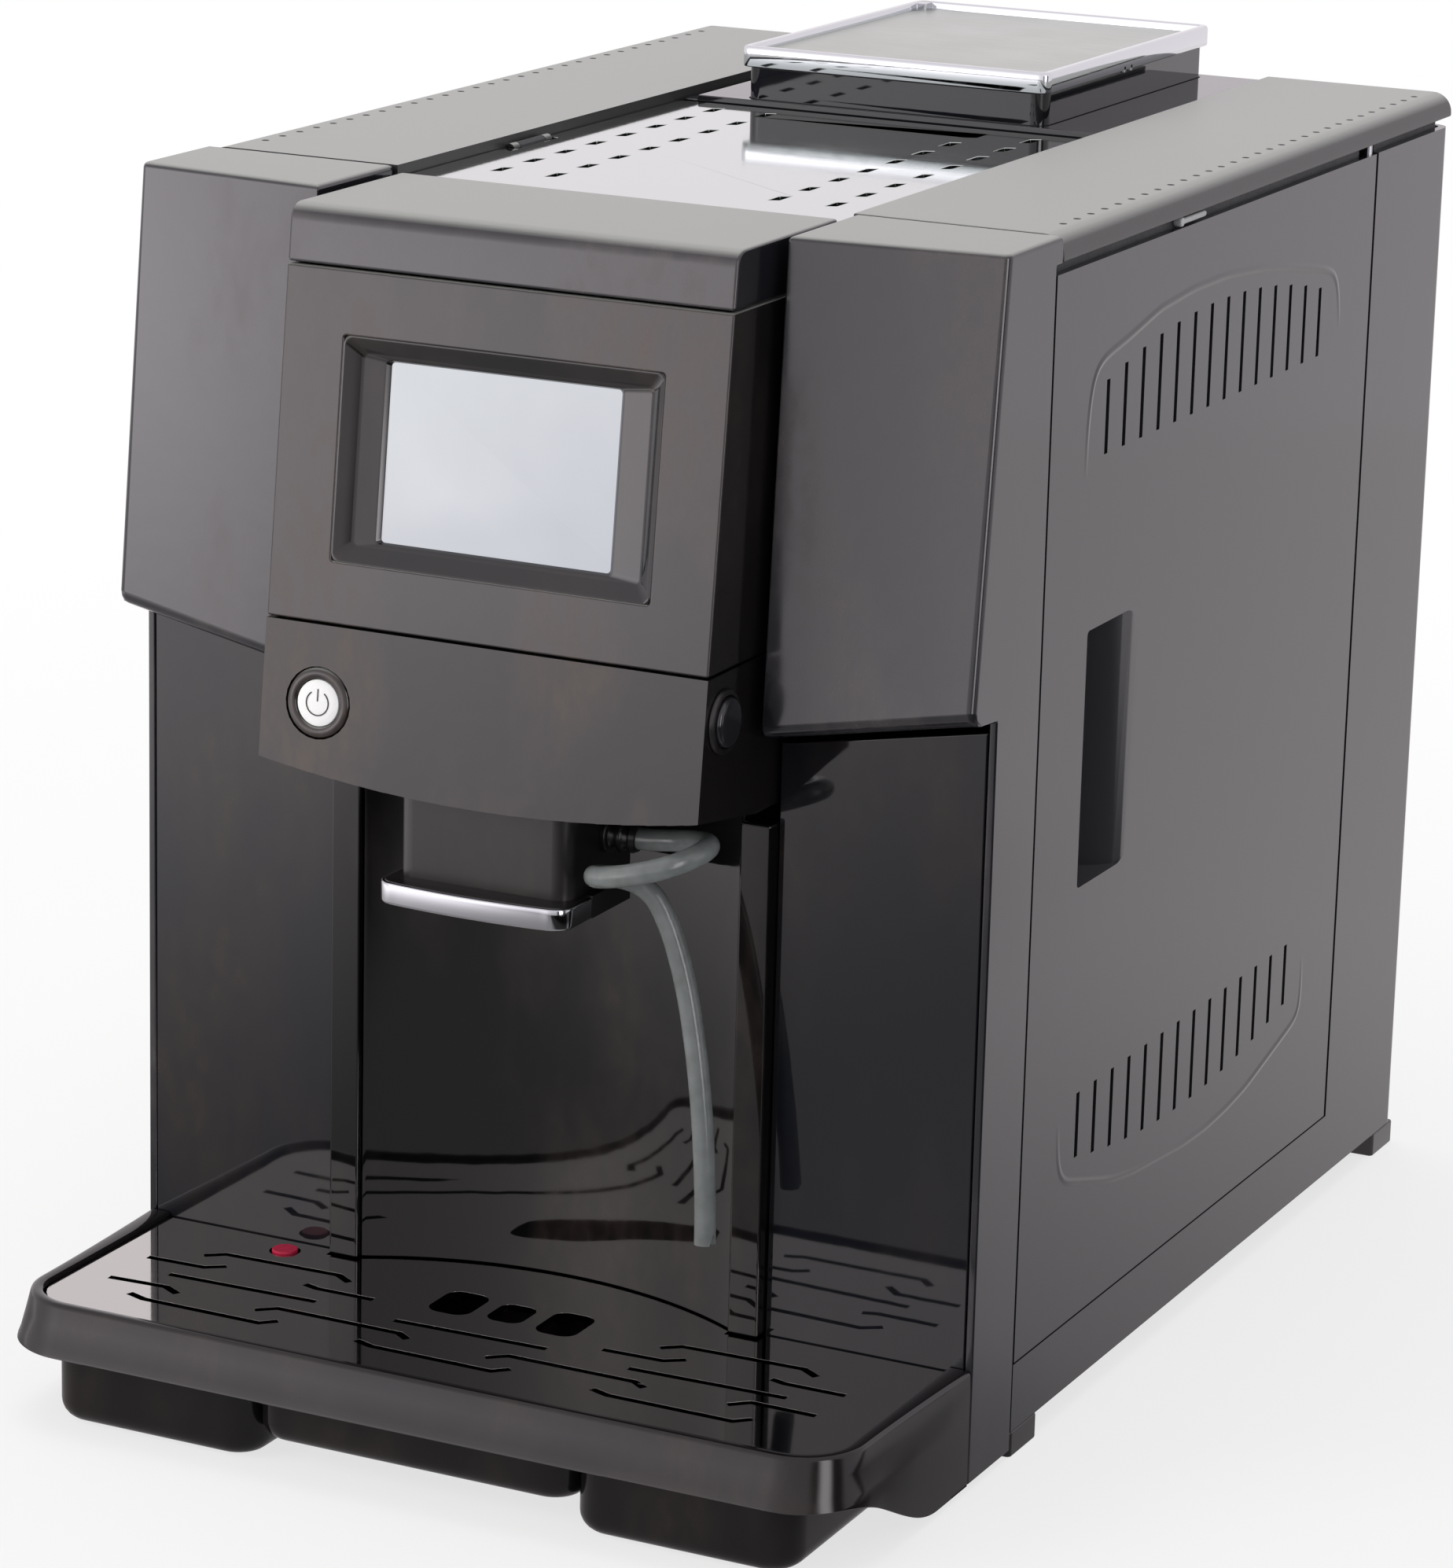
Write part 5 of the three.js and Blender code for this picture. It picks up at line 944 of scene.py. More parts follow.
        mixed = add_node(tree, "MixShader", [path["Is Glossy Ray"], seen, dim])
        add_node(tree, "OutputMaterial", [mixed])
        mesh.materials.append(material)

    def lamps(self) -> None:
        """Area lamps whose radiance is the panel's strength: power is strength times pi times area."""
        for panel in self.panels:
            light = bpy.data.lights.new(panel.title, "AREA")
            light.shape = "RECTANGLE"
            light.size, light.size_y = panel.size
            light.energy = panel.strength * math.pi * panel.size[0] * panel.size[1]
            light.color = panel.tint
            lamp = bpy.data.objects.new(panel.title, light)
            lamp.location = panel.place
            look = Vector(panel.aim) - Vector(panel.place)
            lamp.rotation_euler = look.to_track_quat("-Z", "Y").to_euler()
            lamp.visible_camera = False
            lamp.visible_glossy = False
            bpy.context.scene.collection.objects.link(lamp)

    def build(self) -> None:
        """Makes the camera, the surrounding, the floor and the lamps."""
        self.camera()
        self.world()
        self.floor()
        self.lamps()
        bpy.context.scene.view_settings.view_transform = "Standard"


# Milk hose


@dataclass
class MilkHose:
    """Silicone hose from the milk nozzle: one loop, then down to a bare notched end."""

    diameter: float = 6.4
    bore: float = 3.6
    length: float = 215.4
    lip: float = 0.25
    closed: float = 0.05
    bore_depth: float = 24.0
    # The end's notch: its depth, its turn about the hose, and how narrow and steep its sides are
    notch_depth: float = 4.0
    notch_turn: float = 0.5
    notch_reach: float = 0.9
    notch_slope: float = 2.2
    sides: int = 40
    skin_steps: int = 300
    bore_steps: int = 12
    curve_steps: int = 360
    # A direction that the route never follows
    aside: Place = (-0.2, 0.7, 0.7)
    route: tuple[Place, ...] = (
        (38.3, -51, 189), (43, -51, 189.3), (49, -51, 190), (55.5, -52.6, 191.2), (61.5, -56.3, 192.6),
        (66, -62, 193.6), (67.6, -68.6, 193.8), (66, -75.4, 192.8), (61, -81.2, 191), (54, -84.2, 189),
        (46.5, -83.8, 187), (40.2, -80, 185), (36, -74, 183.2), (35.2, -67, 181.4), (37.4, -60.6, 179.6),
        (41.4, -56.6, 177.2), (46, -55.2, 173.2), (50, -55, 166.6), (53.6, -55, 157.6), (57, -55.2, 146),
        (60.2, -55.8, 131), (62.8, -56.6, 115), (64.8, -57.6, 98), (66, -58.6, 84), (66.6, -59.4, 73),
    )

    def centreline(self) -> tuple[Array, Array]:
        """Centripetal curve through the route: between two points each place is a blend of the four
        nearest, with the gaps between their times equal to the root of their distances.

        Returns:
            The curve's points and the distance along it at each.
        """
        known = np.array(self.route, float)
        guide = np.vstack([2 * known[0] - known[1], known, 2 * known[-1] - known[-2]])
        per = self.curve_steps // (len(known) - 1)
        share = np.linspace(0, 1, per, endpoint=False)[None, :, None]
        p0, p1, p2, p3 = (guide[i : len(guide) - 3 + i, None, :] for i in range(4))
        gap = np.sqrt(np.linalg.norm(np.diff(guide, axis=0), axis=1))
        t1, g12, g23 = (gap[i : len(gap) - 2 + i, None, None] for i in range(3))
        t2 = t1 + g12
        t3 = t2 + g23
        t = t1 + g12 * share
        a1 = (t1 - t) / t1 * p0 + t / t1 * p1
        a2 = (t2 - t) / g12 * p1 + (t - t1) / g12 * p2
        a3 = (t3 - t) / g23 * p2 + (t - t2) / g23 * p3
        b1 = (t2 - t) / t2 * a1 + t / t2 * a2
        b2 = (t3 - t) / (t3 - t1) * a2 + (t - t1) / (t3 - t1) * a3
        curve = ((t2 - t) / g12 * b1 + (t - t1) / g12 * b2).reshape(-1, 3)
        curve = np.vstack([curve, known[-1]])
        along = np.concatenate([[0.0], np.cumsum(np.linalg.norm(np.diff(curve, axis=0), axis=1))])
        return curve, along

    def build(self) -> None:
        """A circle is carried along the curve: out along the skin, over the lip and back in the bore.
        At the end the skin stops early over a narrow sector on two sides, which makes the notch."""
        curve, along = self.centreline()
        end = along[-1]
        outer, inner = self.diameter / 2, self.bore / 2
        skin = np.linspace(0, end, self.skin_steps)
        back = np.linspace(end, end - self.bore_depth, self.bore_steps)
        travel = np.concatenate([[0, 0], skin, [end], back, back[-1:]])
        walls = [np.full(self.skin_steps, outer), [outer - self.lip], np.full(self.bore_steps, inner)]
        radius = np.concatenate([[self.closed, inner], *walls, [self.closed]])
        angle = np.linspace(0, 2 * np.pi, self.sides, endpoint=False)
        sector = np.minimum(np.abs(np.sin(angle - self.notch_turn)) / self.notch_reach, 1.0)
        cut = end - self.notch_depth * np.clip(1 - sector * self.notch_slope, 0, 1)
        reach = np.minimum(travel[:, None], cut[None, :])
        place = np.stack([np.interp(reach, along, curve[:, k]) for k in range(3)], -1)
        slope = np.gradient(curve, along, axis=0)
        tangent = np.stack([np.interp(reach, along, slope[:, k]) for k in range(3)], -1)
        tangent /= np.linalg.norm(tangent, axis=-1, keepdims=True)
        across = np.cross(tangent, np.array(self.aside))
        across /= np.linalg.norm(across, axis=-1, keepdims=True)
        other = np.cross(tangent, across)
        ring = across * np.cos(angle)[None, :, None] + other * np.sin(angle)[None, :, None]
        surface = Surface().grid(place + ring * radius[:, None, None])
        hose = dressed(surface, "milk_hose_tube", Plain.HOSE, Placing("spout", ("milk_hose",), sharp=60))


# Head


@dataclass
class Head:
    """The leaning head: cap, screen housing with its recessed bezel, and the button panel."""

    screen_level: float = 296.75
    button_level: float = 223.0
    button_across: float = -52.7
    knob_place: Place = (71.4, -66.0, 231.8)
    knob_sides: int = 56
    button_sides: int = 64
    corner_steps: int = 6
    # Half width, half height, corner radius and depth of each ring of the bezel, from outside in
    bezel_rings: tuple[tuple[float, float, float, float], ...] = (
        (51.7, 32.9, 2.6, 5.8), (51.7, 32.9, 2.6, 0.55), (51.4, 32.6, 2.5, 0.3), (51.0, 32.2, 2.4, 0.25),
        (50.5, 31.7, 2.2, 0.5), (46.9, 28.2, 1.8, 3.2), (46.5, 27.9, 1.7, 3.5), (45.9, 27.6, 1.6, 3.65),
        (39.9, 26.7, 1.4, 4.1), (39.3, 26.5, 1.3, 4.25), (38.8, 26.3, 1.3, 4.8), (38.2, 26.0, 1.2, 5.6),
        (40.0, 27.6, 1.2, 5.66), (40.0, 27.6, 1.2, 5.8),
    )
    # The opening is narrower on the right by this much, from this ring inward
    bezel_shift: float = 2.4
    bezel_inner: int = 8
    # The same four sizes for the glass, from its back to its face
    screen_rings: tuple[tuple[float, float, float, float], ...] = (
        (39.6, 27.3, 1.0, 8.4), (39.6, 27.3, 1.0, 5.9), (38.0, 25.8, 1.0, 5.75), (37.9, 25.7, 1.0, 5.7),
    )
    # Radius and depth of the ring round the button, the button's stem and cap, and the knob's parts
    ring_profile: tuple[Pair, ...] = (
        (7.1, 8.0), (7.1, 0.6), (7.2, 0.1), (7.5, -0.25), (8.0, -0.45), (8.7, -0.5), (9.3, -0.4),
        (9.8, -0.15), (10.2, 0.25), (10.35, 0.8), (10.35, 8.0), (7.1, 8.0),
    )
    stem_profile: tuple[Pair, ...] = (
        (0.02, 0.9), (6.6, 0.9), (6.8, 1.2), (6.8, 5.2), (2.4, 5.2), (2.4, 11.0), (0.02, 11.0),
    )
    cap_profile: tuple[Pair, ...] = (
        (0.02, -0.3), (4.6, -0.25), (6.2, -0.1), (6.75, 0.1), (6.9, 0.4), (6.9, 1.2), (0.02, 1.2),
    )
    collar_profile: tuple[Pair, ...] = (
        (7.55, 0.2), (7.55, 1.2), (7.8, 1.5), (8.6, 1.5), (9.2, 1.2), (9.5, 0.7), (9.5, 0.2), (7.55, 0.2),
    )
    knob_profile: tuple[Pair, ...] = (
        (0.02, -8.0), (2.5, -8.0), (2.5, 0.3), (7.0, 0.3), (7.25, 0.6), (7.25, 1.9), (7.15, 2.3),
        (6.8, 2.7), (6.1, 3.0), (4.6, 3.15), (2.4, 3.25), (0.02, 3.3),
    )
    # The power symbol: its circle's inner and outer radius, its two ends in degrees, the stroke's
    # half width and its ends, and the depths between which it lies
    symbol_radii: Pair = (3.45, 3.8)
    symbol_turn: Pair = (-235.0, 55.0)
    symbol_steps: int = 60
    stroke_half: float = 0.17
    stroke_ends: Pair = (0.5, 4.1)
    symbol_depths: Pair = (-0.42, -0.2)

    def build(self) -> None:
        """Builds the head's shells and everything on its face."""
        shell("head_cap", Black.WING, 1.0, 3)
        shell("display_housing", Black.HAZED, 0.7, 3)
        shell("button_housing", Black.BUTTON_PANEL, 0.5, 4, band=(0.0, 212.5, 2.6))
        self.bezel()
        self.screen()
        self.button()
        self.symbol()
        self.knob()

    def upright(self, half: Pair, right: float, corner: float, deep: float) -> Array:
        """One outline that stands in the head's plane.

        Args:
            half: Half width and half height.
            right: How far it reaches to the right.
            corner: Corner radius.
            deep: Depth behind the plane.

        Returns:
            The outline's points.
        """
        flat = loop((-half[0], right), (-half[1], half[1]), corner, self.corner_steps)
        return np.column_stack([flat[:, 0], np.full(len(flat), deep), flat[:, 1]])

    def bezel(self) -> None:
        """Rings of round-cornered rectangles that step inward: a steep wall, a ledge and a lip."""
        rows = [
            self.upright((wide, high), wide - self.bezel_shift * (index >= self.bezel_inner), corner, deep)
            for index, (wide, high, corner, deep) in enumerate(self.bezel_rings)
        ]
        surface = Surface().grid(rows, ring=True).moved(lambda block: on_head(block, self.screen_level))
        dressed(surface, "bezel_frame", Black.BEZEL, Placing("root", ("screen_bezel",), sharp=28))

    def screen(self) -> None:
        """The lit glass: a thin plate with a rounded rim, a little behind the bezel's lip."""
        rows = [self.upright((w, h), w, corner, deep) for w, h, corner, deep in self.screen_rings]
        surface = Surface().grid(rows).moved(lambda block: on_head(block, self.screen_level))
        dressed(surface, "screen_glass", Plain.SCREEN, Placing("root", ("touch_screen",)))

    def button(self) -> None:
        """A rounded ring, the button's body on its stem and a pale lit cap on it."""
        pieces = (
            (self.ring_profile, "button_bezel", Black.HAZED, Placing("root", ("button_ring",))),
            (self.stem_profile, "button_body", Black.SATIN, Placing("button", ("power_button",))),
            (self.cap_profile, "button_cap", Plain.LIT_CAP, Placing("button")),
        )
        for profile, name, finish, placing in pieces:
            form = Surface().turned(profile, (self.button_across, 0.0, 0.0), "y", self.button_sides)
            dressed(form.moved(lambda block: on_head(block, self.button_level)), name, finish, placing)

    def symbol(self) -> None:
        """Open circle and stroke: a flat strip whose middle runs on an arc of 290 degrees, and a
        straight one from near the middle up through its gap."""
        angle = np.radians(np.linspace(*self.symbol_turn, self.symbol_steps))
        inner, outer = self.symbol_radii
        face, back = self.symbol_depths
        corners = ((inner, face), (outer, face), (outer, back), (inner, back))
        arc = [np.column_stack([r * np.cos(angle), 0 * angle + y, r * np.sin(angle)]) for r, y in corners]
        low, high = self.stroke_ends
        bar = np.array([[-1, 0, low], [1, 0, low], [1, 0, high], [-1, 0, high]]) * [self.stroke_half, 1, 1]
        surface = Surface().grid(np.stack(arc, 1)).grid([bar + [0, face, 0], bar + [0, back, 0]])
        surface.moved(lambda block: on_head(block + [self.button_across, 0, 0], self.button_level))
        dressed(surface, "power_symbol", Plain.SYMBOL, Placing("button", sharp=20))

    def knob(self) -> None:
        """Both are turned about the knob's axis, which points out of the head's right side."""
        collar = Surface().turned(self.collar_profile, self.knob_place, "x", self.knob_sides)
        dressed(collar, "knob_ring", Black.SATIN, Placing("root", ("knob_collar",)))
        knob = Surface().turned(self.knob_profile, self.knob_place, "x", self.knob_sides)
        dressed(knob, "knob_cap", Black.PANEL, Placing("knob", ("froth_knob",), sharp=50))


# Casing


@dataclass
class Casing:
    """Side panels, wings, lower fronts, rear cover, base and the hollow wall behind the cup."""

    bay_half: float = 72.8
    band_width: float = 9.9
    band_front: float = -35.6
    chord_back: float = -33.0
    panel_back: float = -28.1
    bay_depth: float = 17.0
    bay_steps: int = 97
    wall: float = 2.5
    foot: float = 37.0
    band_top: float = 194.0
    top: float = 232.0
    # The wings' upper edges, between these levels, are rounded this wide
    wing_band: Place = (365.0, 400.0, 1.6)

    def build(self) -> None:
        """Builds the casing's shells and the bay's wall."""
        shell("left_side_cover", Black.PANEL, 0.0, merge=False, smooth=False)
        shell("rear_cover", Black.PANEL, 0.5, merge=False)
        for side in ("right", "left"):
            shell("fascia_" + side, Black.WING, 0.6, 3, band=self.wing_band, clamp=False)
        for side in ("right", "left"):
            shell("lower_front_" + side, Black.MIRROR, 0.4)
        shell("base_chassis", Black.PANEL, 0.5, merge=False)
        for corner in ("front_left", "front_right", "rear_left", "rear_right"):
            shell("foot_" + corner, Black.FOOT, 0.6)
        self.bay()

    def bay(self) -> None:
        """The wall is a circular arc between two bands: its plan is the circle through the arc's two
        ends and its deepest point, carried straight up. Each band is an angle with round corners."""
        chord = self.bay_half - self.band_width
        radius = (chord**2 + self.bay_depth**2) / (2 * self.bay_depth)
        centre = self.chord_back + self.bay_depth - radius
        half = math.asin(chord / radius)
        turn = np.linspace(-half, half, self.bay_steps)
        circle = np.column_stack([np.sin(turn), np.cos(turn)])
        front = radius * circle + [0, centre]
        back = (radius + self.wall) * circle + [0, centre]
        hollow = Surface().slab(np.vstack([front, back[::-1]]), self.foot, self.top)
        dressed(hollow, "bay_wall", Black.BAY, Placing("root", ("brew_bay_panel",), 0.3, sharp=40))
        inner = self.bay_half - self.wall
        behind = self.band_front + self.wall
        outline = np.array([
            [chord, self.chord_back], [chord, self.band_front], [self.bay_half, self.band_front],
            [self.bay_half, self.panel_back], [inner, self.panel_back], [inner, behind],
            [chord + self.wall * 0.5, behind],
        ])
        for name, sign in (("bay_band_right", 1), ("bay_band_left", -1)):
            surface = Surface().slab(outline * [sign, 1], self.foot, self.band_top)
            dressed(surface, name, Black.BAY, Placing(bevel=0.8, segments=3))


# Service door


@dataclass
class ServiceDoor:
    """The door's skin with its scoop and vents, and the raised lines that frame both vent rows."""

    skin: float = 139.7
    # The lines: how high, half as wide, how deep they root, their two faded ends as a share of the
    # length with the least height there, and their points as y and z
    rise: float = 0.3
    width: float = 1.5
    root: float = 0.4
    fade: float = 0.12
    least: float = 0.02
    samples: int = 160
    across: int = 9
    smoothing: int = 11
    upper: tuple[Pair, ...] = (
        (28, 290), (28, 304.9), (29.2, 314), (31.2, 321.4), (36, 325.2), (44, 326.9), (55.6, 328.7),
        (80.8, 333.7), (107.4, 335.6), (134.8, 335.5), (163.2, 333.3), (186.7, 330.3), (210, 326.4),
        (223.3, 323.8), (229, 321.8), (231.8, 319.7), (234.6, 311), (236, 301.8),
    )
    lower: tuple[Pair, ...] = (
        (27.6, 98), (28, 90), (29.3, 82), (31.5, 78.4), (34.7, 76.1), (71.1, 65.9), (90, 62.9),
        (111.6, 61.1), (131, 59.4), (150.4, 59), (168, 60.2), (185.8, 62.6), (214.7, 69.7), (226, 72.6),
        (231, 73.9), (232.9, 78), (233.2, 86), (232.7, 95.8),
    )

    def build(self) -> None:
        """Builds the skin and both lines."""
        shell("service_door", Black.PANEL, 0.45, flatten=self.skin, merge=False)
        self.line("vent_line_upper", np.array(self.upper, float))
        self.line("vent_line_lower", np.array(self.lower, float))

    def line(self, name: str, path: Array) -> None:
        """A low ridge along a smoothed path: its section is a flat hump of half a cosine wave that
        dies away over the first and last eighth of its length.

        Args:
            name: The piece's name.
            path: Corner points as y and z.
        """
        reach = np.concatenate([[0.0], np.cumsum(np.linalg.norm(np.diff(path, axis=0), axis=1))])
        along = np.linspace(0, reach[-1], self.samples)
        line = np.column_stack([np.interp(along, reach, path[:, k]) for k in range(2)])
        kernel = np.hanning(self.smoothing + 2)[1:-1]
        kernel /= kernel.sum()
        padded = np.pad(line, ((self.smoothing // 2, self.smoothing // 2), (0, 0)), mode="edge")
        smooth = np.column_stack([np.convolve(padded[:, k], kernel, "valid") for k in range(2)])
        slope = np.gradient(smooth, axis=0)
        slope /= np.linalg.norm(slope, axis=1, keepdims=True)
        side = np.column_stack([-slope[:, 1], slope[:, 0]])
        share = along / reach[-1]
        fade = np.clip(np.minimum(share, 1 - share) / self.fade, self.least, 1.0)
        u = np.linspace(-1, 1, self.across)
        hump = (1 + np.cos(np.pi * u)) / 2
        place = smooth[:, None, :] + side[:, None, :] * (u * self.width)[None, :, None]
        level = self.skin + (fade[:, None] * hump[None, :]) * self.rise
        top = np.concatenate([level[..., None], place], -1)
        sunk = top.copy()
        sunk[..., 0] = self.skin - self.root
        surface = Surface().grid(np.concatenate([top, sunk[:, ::-1]], 1))
        dressed(surface, name, Black.PANEL, Placing("door", sharp=60))


# Top


@dataclass
class TopDeck:
    """Both decks with their rows of tiny holes, drawn as dark discs of painted shade, the cup plate, the
    rear deck and the small clip.
    """

    top: float = 366.4
    hole_across: Pair = (-130.5, 132.0)
    hole_radius: float = 1.15
    hole_span: Pair = (22.0, 318.5)
    hole_count: int = 30
    hole_sides: int = 12
    # Share of the hole's radius and level above the deck of each ring of a dark disc that paints the hole's
    # shade, from outside in
    painted_hole_disc: tuple[Pair, ...] = ((1.0, -0.3), (1.0, 0.02), (0.8, 0.03), (0.7, 0.015))
    # The clip in the seam: middle, half length, and x and half height of its three outlines
    clip_middle: Pair = (104.0, 357.2)
    clip_half: float = 10.4
    clip_rings: tuple[Pair, ...] = ((137.4, 0.9), (139.3, 0.9), (139.6, 0.6))
    # How far ahead of the clip's middle its pin lies, and the pin's radius and x at each ring
    pin_ahead: float = 8.8
    pin_profile: tuple[Pair, ...] = (
        (0.02, 137.4), (1.5, 137.4), (1.5, 139.4), (1.2, 139.8), (0.02, 139.9),
    )

    def build(self) -> None:
        """Builds the decks and what lies between them."""
        shell("right_deck", Black.DECK, 0.8, 3)
        shell("left_deck", Black.DECK, 0.8, 3)
        shell("rear_deck", Black.MIRROR, 0.5)
        shell("cup_plate", Bright.PLATE, 0.45)
        self.holes("deck_holes_right", self.hole_across[1], "root")
        self.holes("deck_holes_left", self.hole_across[0], "tank_lid")
        self.clip()

    def holes(self, name: str, across: float, body: str) -> None:
        """A row of small dark discs, painted shade in place of the holes: each is a ring of 12 points with
        a sunken middle ring.

        Args:
            name: The piece's name.
            across: Place of the row along x.
            body: The body that carries it.
        """
        angle = np.linspace(0, 2 * np.pi, self.hole_sides, endpoint=False)
        circle = np.column_stack([np.cos(angle), np.sin(angle), 0 * angle]) * self.hole_radius
        surface = Surface()
        for y in np.linspace(*self.hole_span, self.hole_count):
            surface.grid([circle * share + [across, y, self.top + up] for share, up in self.painted_hole_disc])
        # Dark rubber paints the shade of the holes; the discs barely rise from the deck
        dressed(surface, name, Plain.RUBBER, Placing(body, sharp=80))

    def clip(self) -> None:
        """A round-ended bar in the seam with a small round pin at its front end."""
        y, z = self.clip_middle
        rows = []
        for x, high in self.clip_rings:
            flat = loop((-self.clip_half, self.clip_half), (-high, high), high * 0.98, 8)
            rows.append(np.column_stack([np.full(len(flat), x), y + flat[:, 0], z + flat[:, 1]]))
        bar = Surface().grid(rows)
        bar.turned(self.pin_profile, (0.0, y - self.pin_ahead, z), "x", 24)
        dressed(bar, "seam_clip", Plain.PALE, Placing("root", ("deck_clip",), sharp=40))


# Bean hopper


@dataclass
class HopperLid:
    """The hopper's collar and its lid: a bright frame with a raised rim round a brushed plate."""

    half: float = 54.0
    front: float = 192.5
    back: float = 332.5
    low: float = 375.5
    high: float = 382.2
    corner: float = 3.6
    # Inset and level of the frame's section: its foot, measured up from low, its rim, measured
    # down from high, its foot again, and the brushed plate, measured down from high
    outer_foot: tuple[Pair, ...] = ((1.2, 0.0), (0.35, 0.0), (0.0, 0.4))
    rim: tuple[Pair, ...] = (
        (0.0, 1.2), (0.2, 0.5), (0.7, 0.08), (1.2, 0.0), (2.4, 0.0), (2.8, 0.15), (3.0, 0.5), (3.1, 3.2),
        (3.1, 4.6),
    )
    inner_foot: tuple[Pair, ...] = ((6.0, 0.8), (6.0, -4.9), (8.0, -4.9), (8.0, 0.0), (6.4, 0.0))
    plate: tuple[Pair, ...] = ((5.0, 5.4), (3.2, 5.4), (3.2, 2.7), (3.6, 2.5), (4.0, 2.45))
    # The bright lugs: span across, span in depth, corner radius and span of levels
    lugs: tuple[tuple[Pair, Pair, float, Pair], ...] = (
        ((52.6, 54.0), (255.9, 258.1), 0.5, (374.9, 377.1)),
        ((52.6, 54.0), (261.5, 263.7), 0.5, (374.9, 377.1)),
        ((-51.4, -47.6), (324.0, 329.6), 0.8, (379.2, 382.0)),
    )

    def ring(self, inset: float, z: float) -> Array:
        """One outline of the lid, drawn in by inset, at level z."""
        x = (-self.half + inset, self.half - inset)
        y = (self.front + inset, self.back - inset)
        return loop(x, y, max(self.corner - inset, 0.8), 8, z)

    def build(self) -> None:
        """Builds the collar's shell, the frame, its plate and the small bright lugs."""
        shell("hopper_base", Black.MIRROR, 0.9, 3)
        rows = [self.ring(inset, self.low + up) for inset, up in self.outer_foot]
        rows += [self.ring(inset, self.high - down) for inset, down in self.rim]
        rows += [self.ring(inset, self.low + up) for inset, up in self.inner_foot]
        placing = Placing("hopper_lid", ("hopper_lid",), sharp=50)
        dressed(Surface().grid(rows, ring=True), "lid_frame", Bright.LID_SIDE, placing)
        plate = Surface().grid([self.ring(inset, self.high - down) for inset, down in self.plate])
        dressed(plate, "lid_plate", Bright.INSET, Placing("hopper_lid", sharp=30))
        lugs = Surface()
        for across, deep, corner, levels in self.lugs:
            lugs.slab(loop(across, deep, corner, 3), *levels)
        dressed(lugs, "lid_lugs", Bright.CHROME, Placing("hopper_lid", bevel=0.2))


# Spout


@dataclass
class CoffeeSpout:
    """The sliding spout: its trunk, the lip with its bright band, and the barbed milk nozzle."""

    half: float = 31.0
    foot: float = 167.6
    band_height: float = 6.7
    front: float = -85.0
    back: float = -66.0
    corner: float = 6.0
    bow: float = 1.6
    corner_steps: int = 12
    front_steps: int = 24
    # Inset and level of the lip's and the band's sections: first the points measured up from the
    # foot, then those measured down from the top
    lip_foot: tuple[Pair, ...] = ((1.6, 0.3), (0.9, 0.3))
    lip_top: tuple[Pair, ...] = ((0.9, 0.5), (1.3, 0.1), (2.0, 0.0))
    band_foot: tuple[Pair, ...] = ((1.1, 0.1), (0.4, 0.0), (0.1, 0.3), (0.0, 0.8))
    band_top: tuple[Pair, ...] = ((0.0, 0.9), (0.1, 0.5), (0.45, 0.3), (1.1, 0.4))
    nozzle_place: Place = (28.0, -51.0, 189.0)
    nozzle_profile: tuple[Pair, ...] = (
        (0.02, 0.0), (5.2, 0.0), (5.4, 0.3), (5.4, 1.4), (5.1, 1.7), (3.9, 1.9), (3.6, 2.3), (3.6, 3.9),
        (4.4, 4.3), (4.6, 4.7), (4.5, 5.6), (3.8, 6.0), (3.6, 6.5), (3.6, 7.9), (4.3, 8.3), (4.55, 8.8),
        (3.9, 10.2), (3.4, 10.4), (0.02, 10.4),
    )

    def outline(self, inset: float, z: float) -> Array:
        """Plan of the lip at a level: straight sides, round front corners and a front that bows out
        in the middle by a parabola.

        Args:
            inset: How far the plan is drawn in.
            z: Its level.

        Returns:
            The outline's points.
        """
        radius = max(self.corner - inset, 1.0)
        turn = np.linspace(np.pi, 1.5 * np.pi, self.corner_steps + 1)
        left = np.column_stack([
            -self.half + inset + radius + radius * np.cos(turn),
            self.front + self.bow + inset + radius + radius * np.sin(turn),
        ])
        x = np.linspace(-self.half + inset + radius, self.half - inset - radius, self.front_steps + 1)[1:-1]
        middle = np.column_stack([x, self.front + inset + self.bow * (x / (self.half - radius)) ** 2])
        ends = np.array([[self.half - inset, self.back], [-self.half + inset, self.back]])
        flat = np.vstack([left, middle, left[::-1] * [-1, 1], ends])
        return np.column_stack([flat, np.full(len(flat), z)])

    def section(self, foot: Sequence[Pair], top: Sequence[Pair]) -> list[Array]:
        """Outlines at points measured up from the foot and then down from the top."""
        high = self.foot + self.band_height
        rows = [self.outline(inset, self.foot + up) for inset, up in foot]
        return rows + [self.outline(inset, high - down) for inset, down in top]

    def build(self) -> None:
        """Builds the trunk's shell, the lip, the band and the nozzle."""
        shell("spout_body", Black.SATIN, 1.2, 3)
        lip = Surface().grid(self.section(self.lip_foot, self.lip_top))
        dressed(lip, "spout_lip", Black.SATIN, Placing("spout", ("spout_band",), sharp=30))
        strip = Surface().grid(self.section(self.band_foot, self.band_top), ring=True)
        dressed(strip, "spout_trim", Bright.CHROME, Placing("spout", sharp=50))
        nozzle = Surface().turned(self.nozzle_profile, self.nozzle_place, "x", 40)
        dressed(nozzle, "milk_spigot", Black.SATIN, Placing("spout", ("milk_nozzle",), sharp=40))


# Drip tray


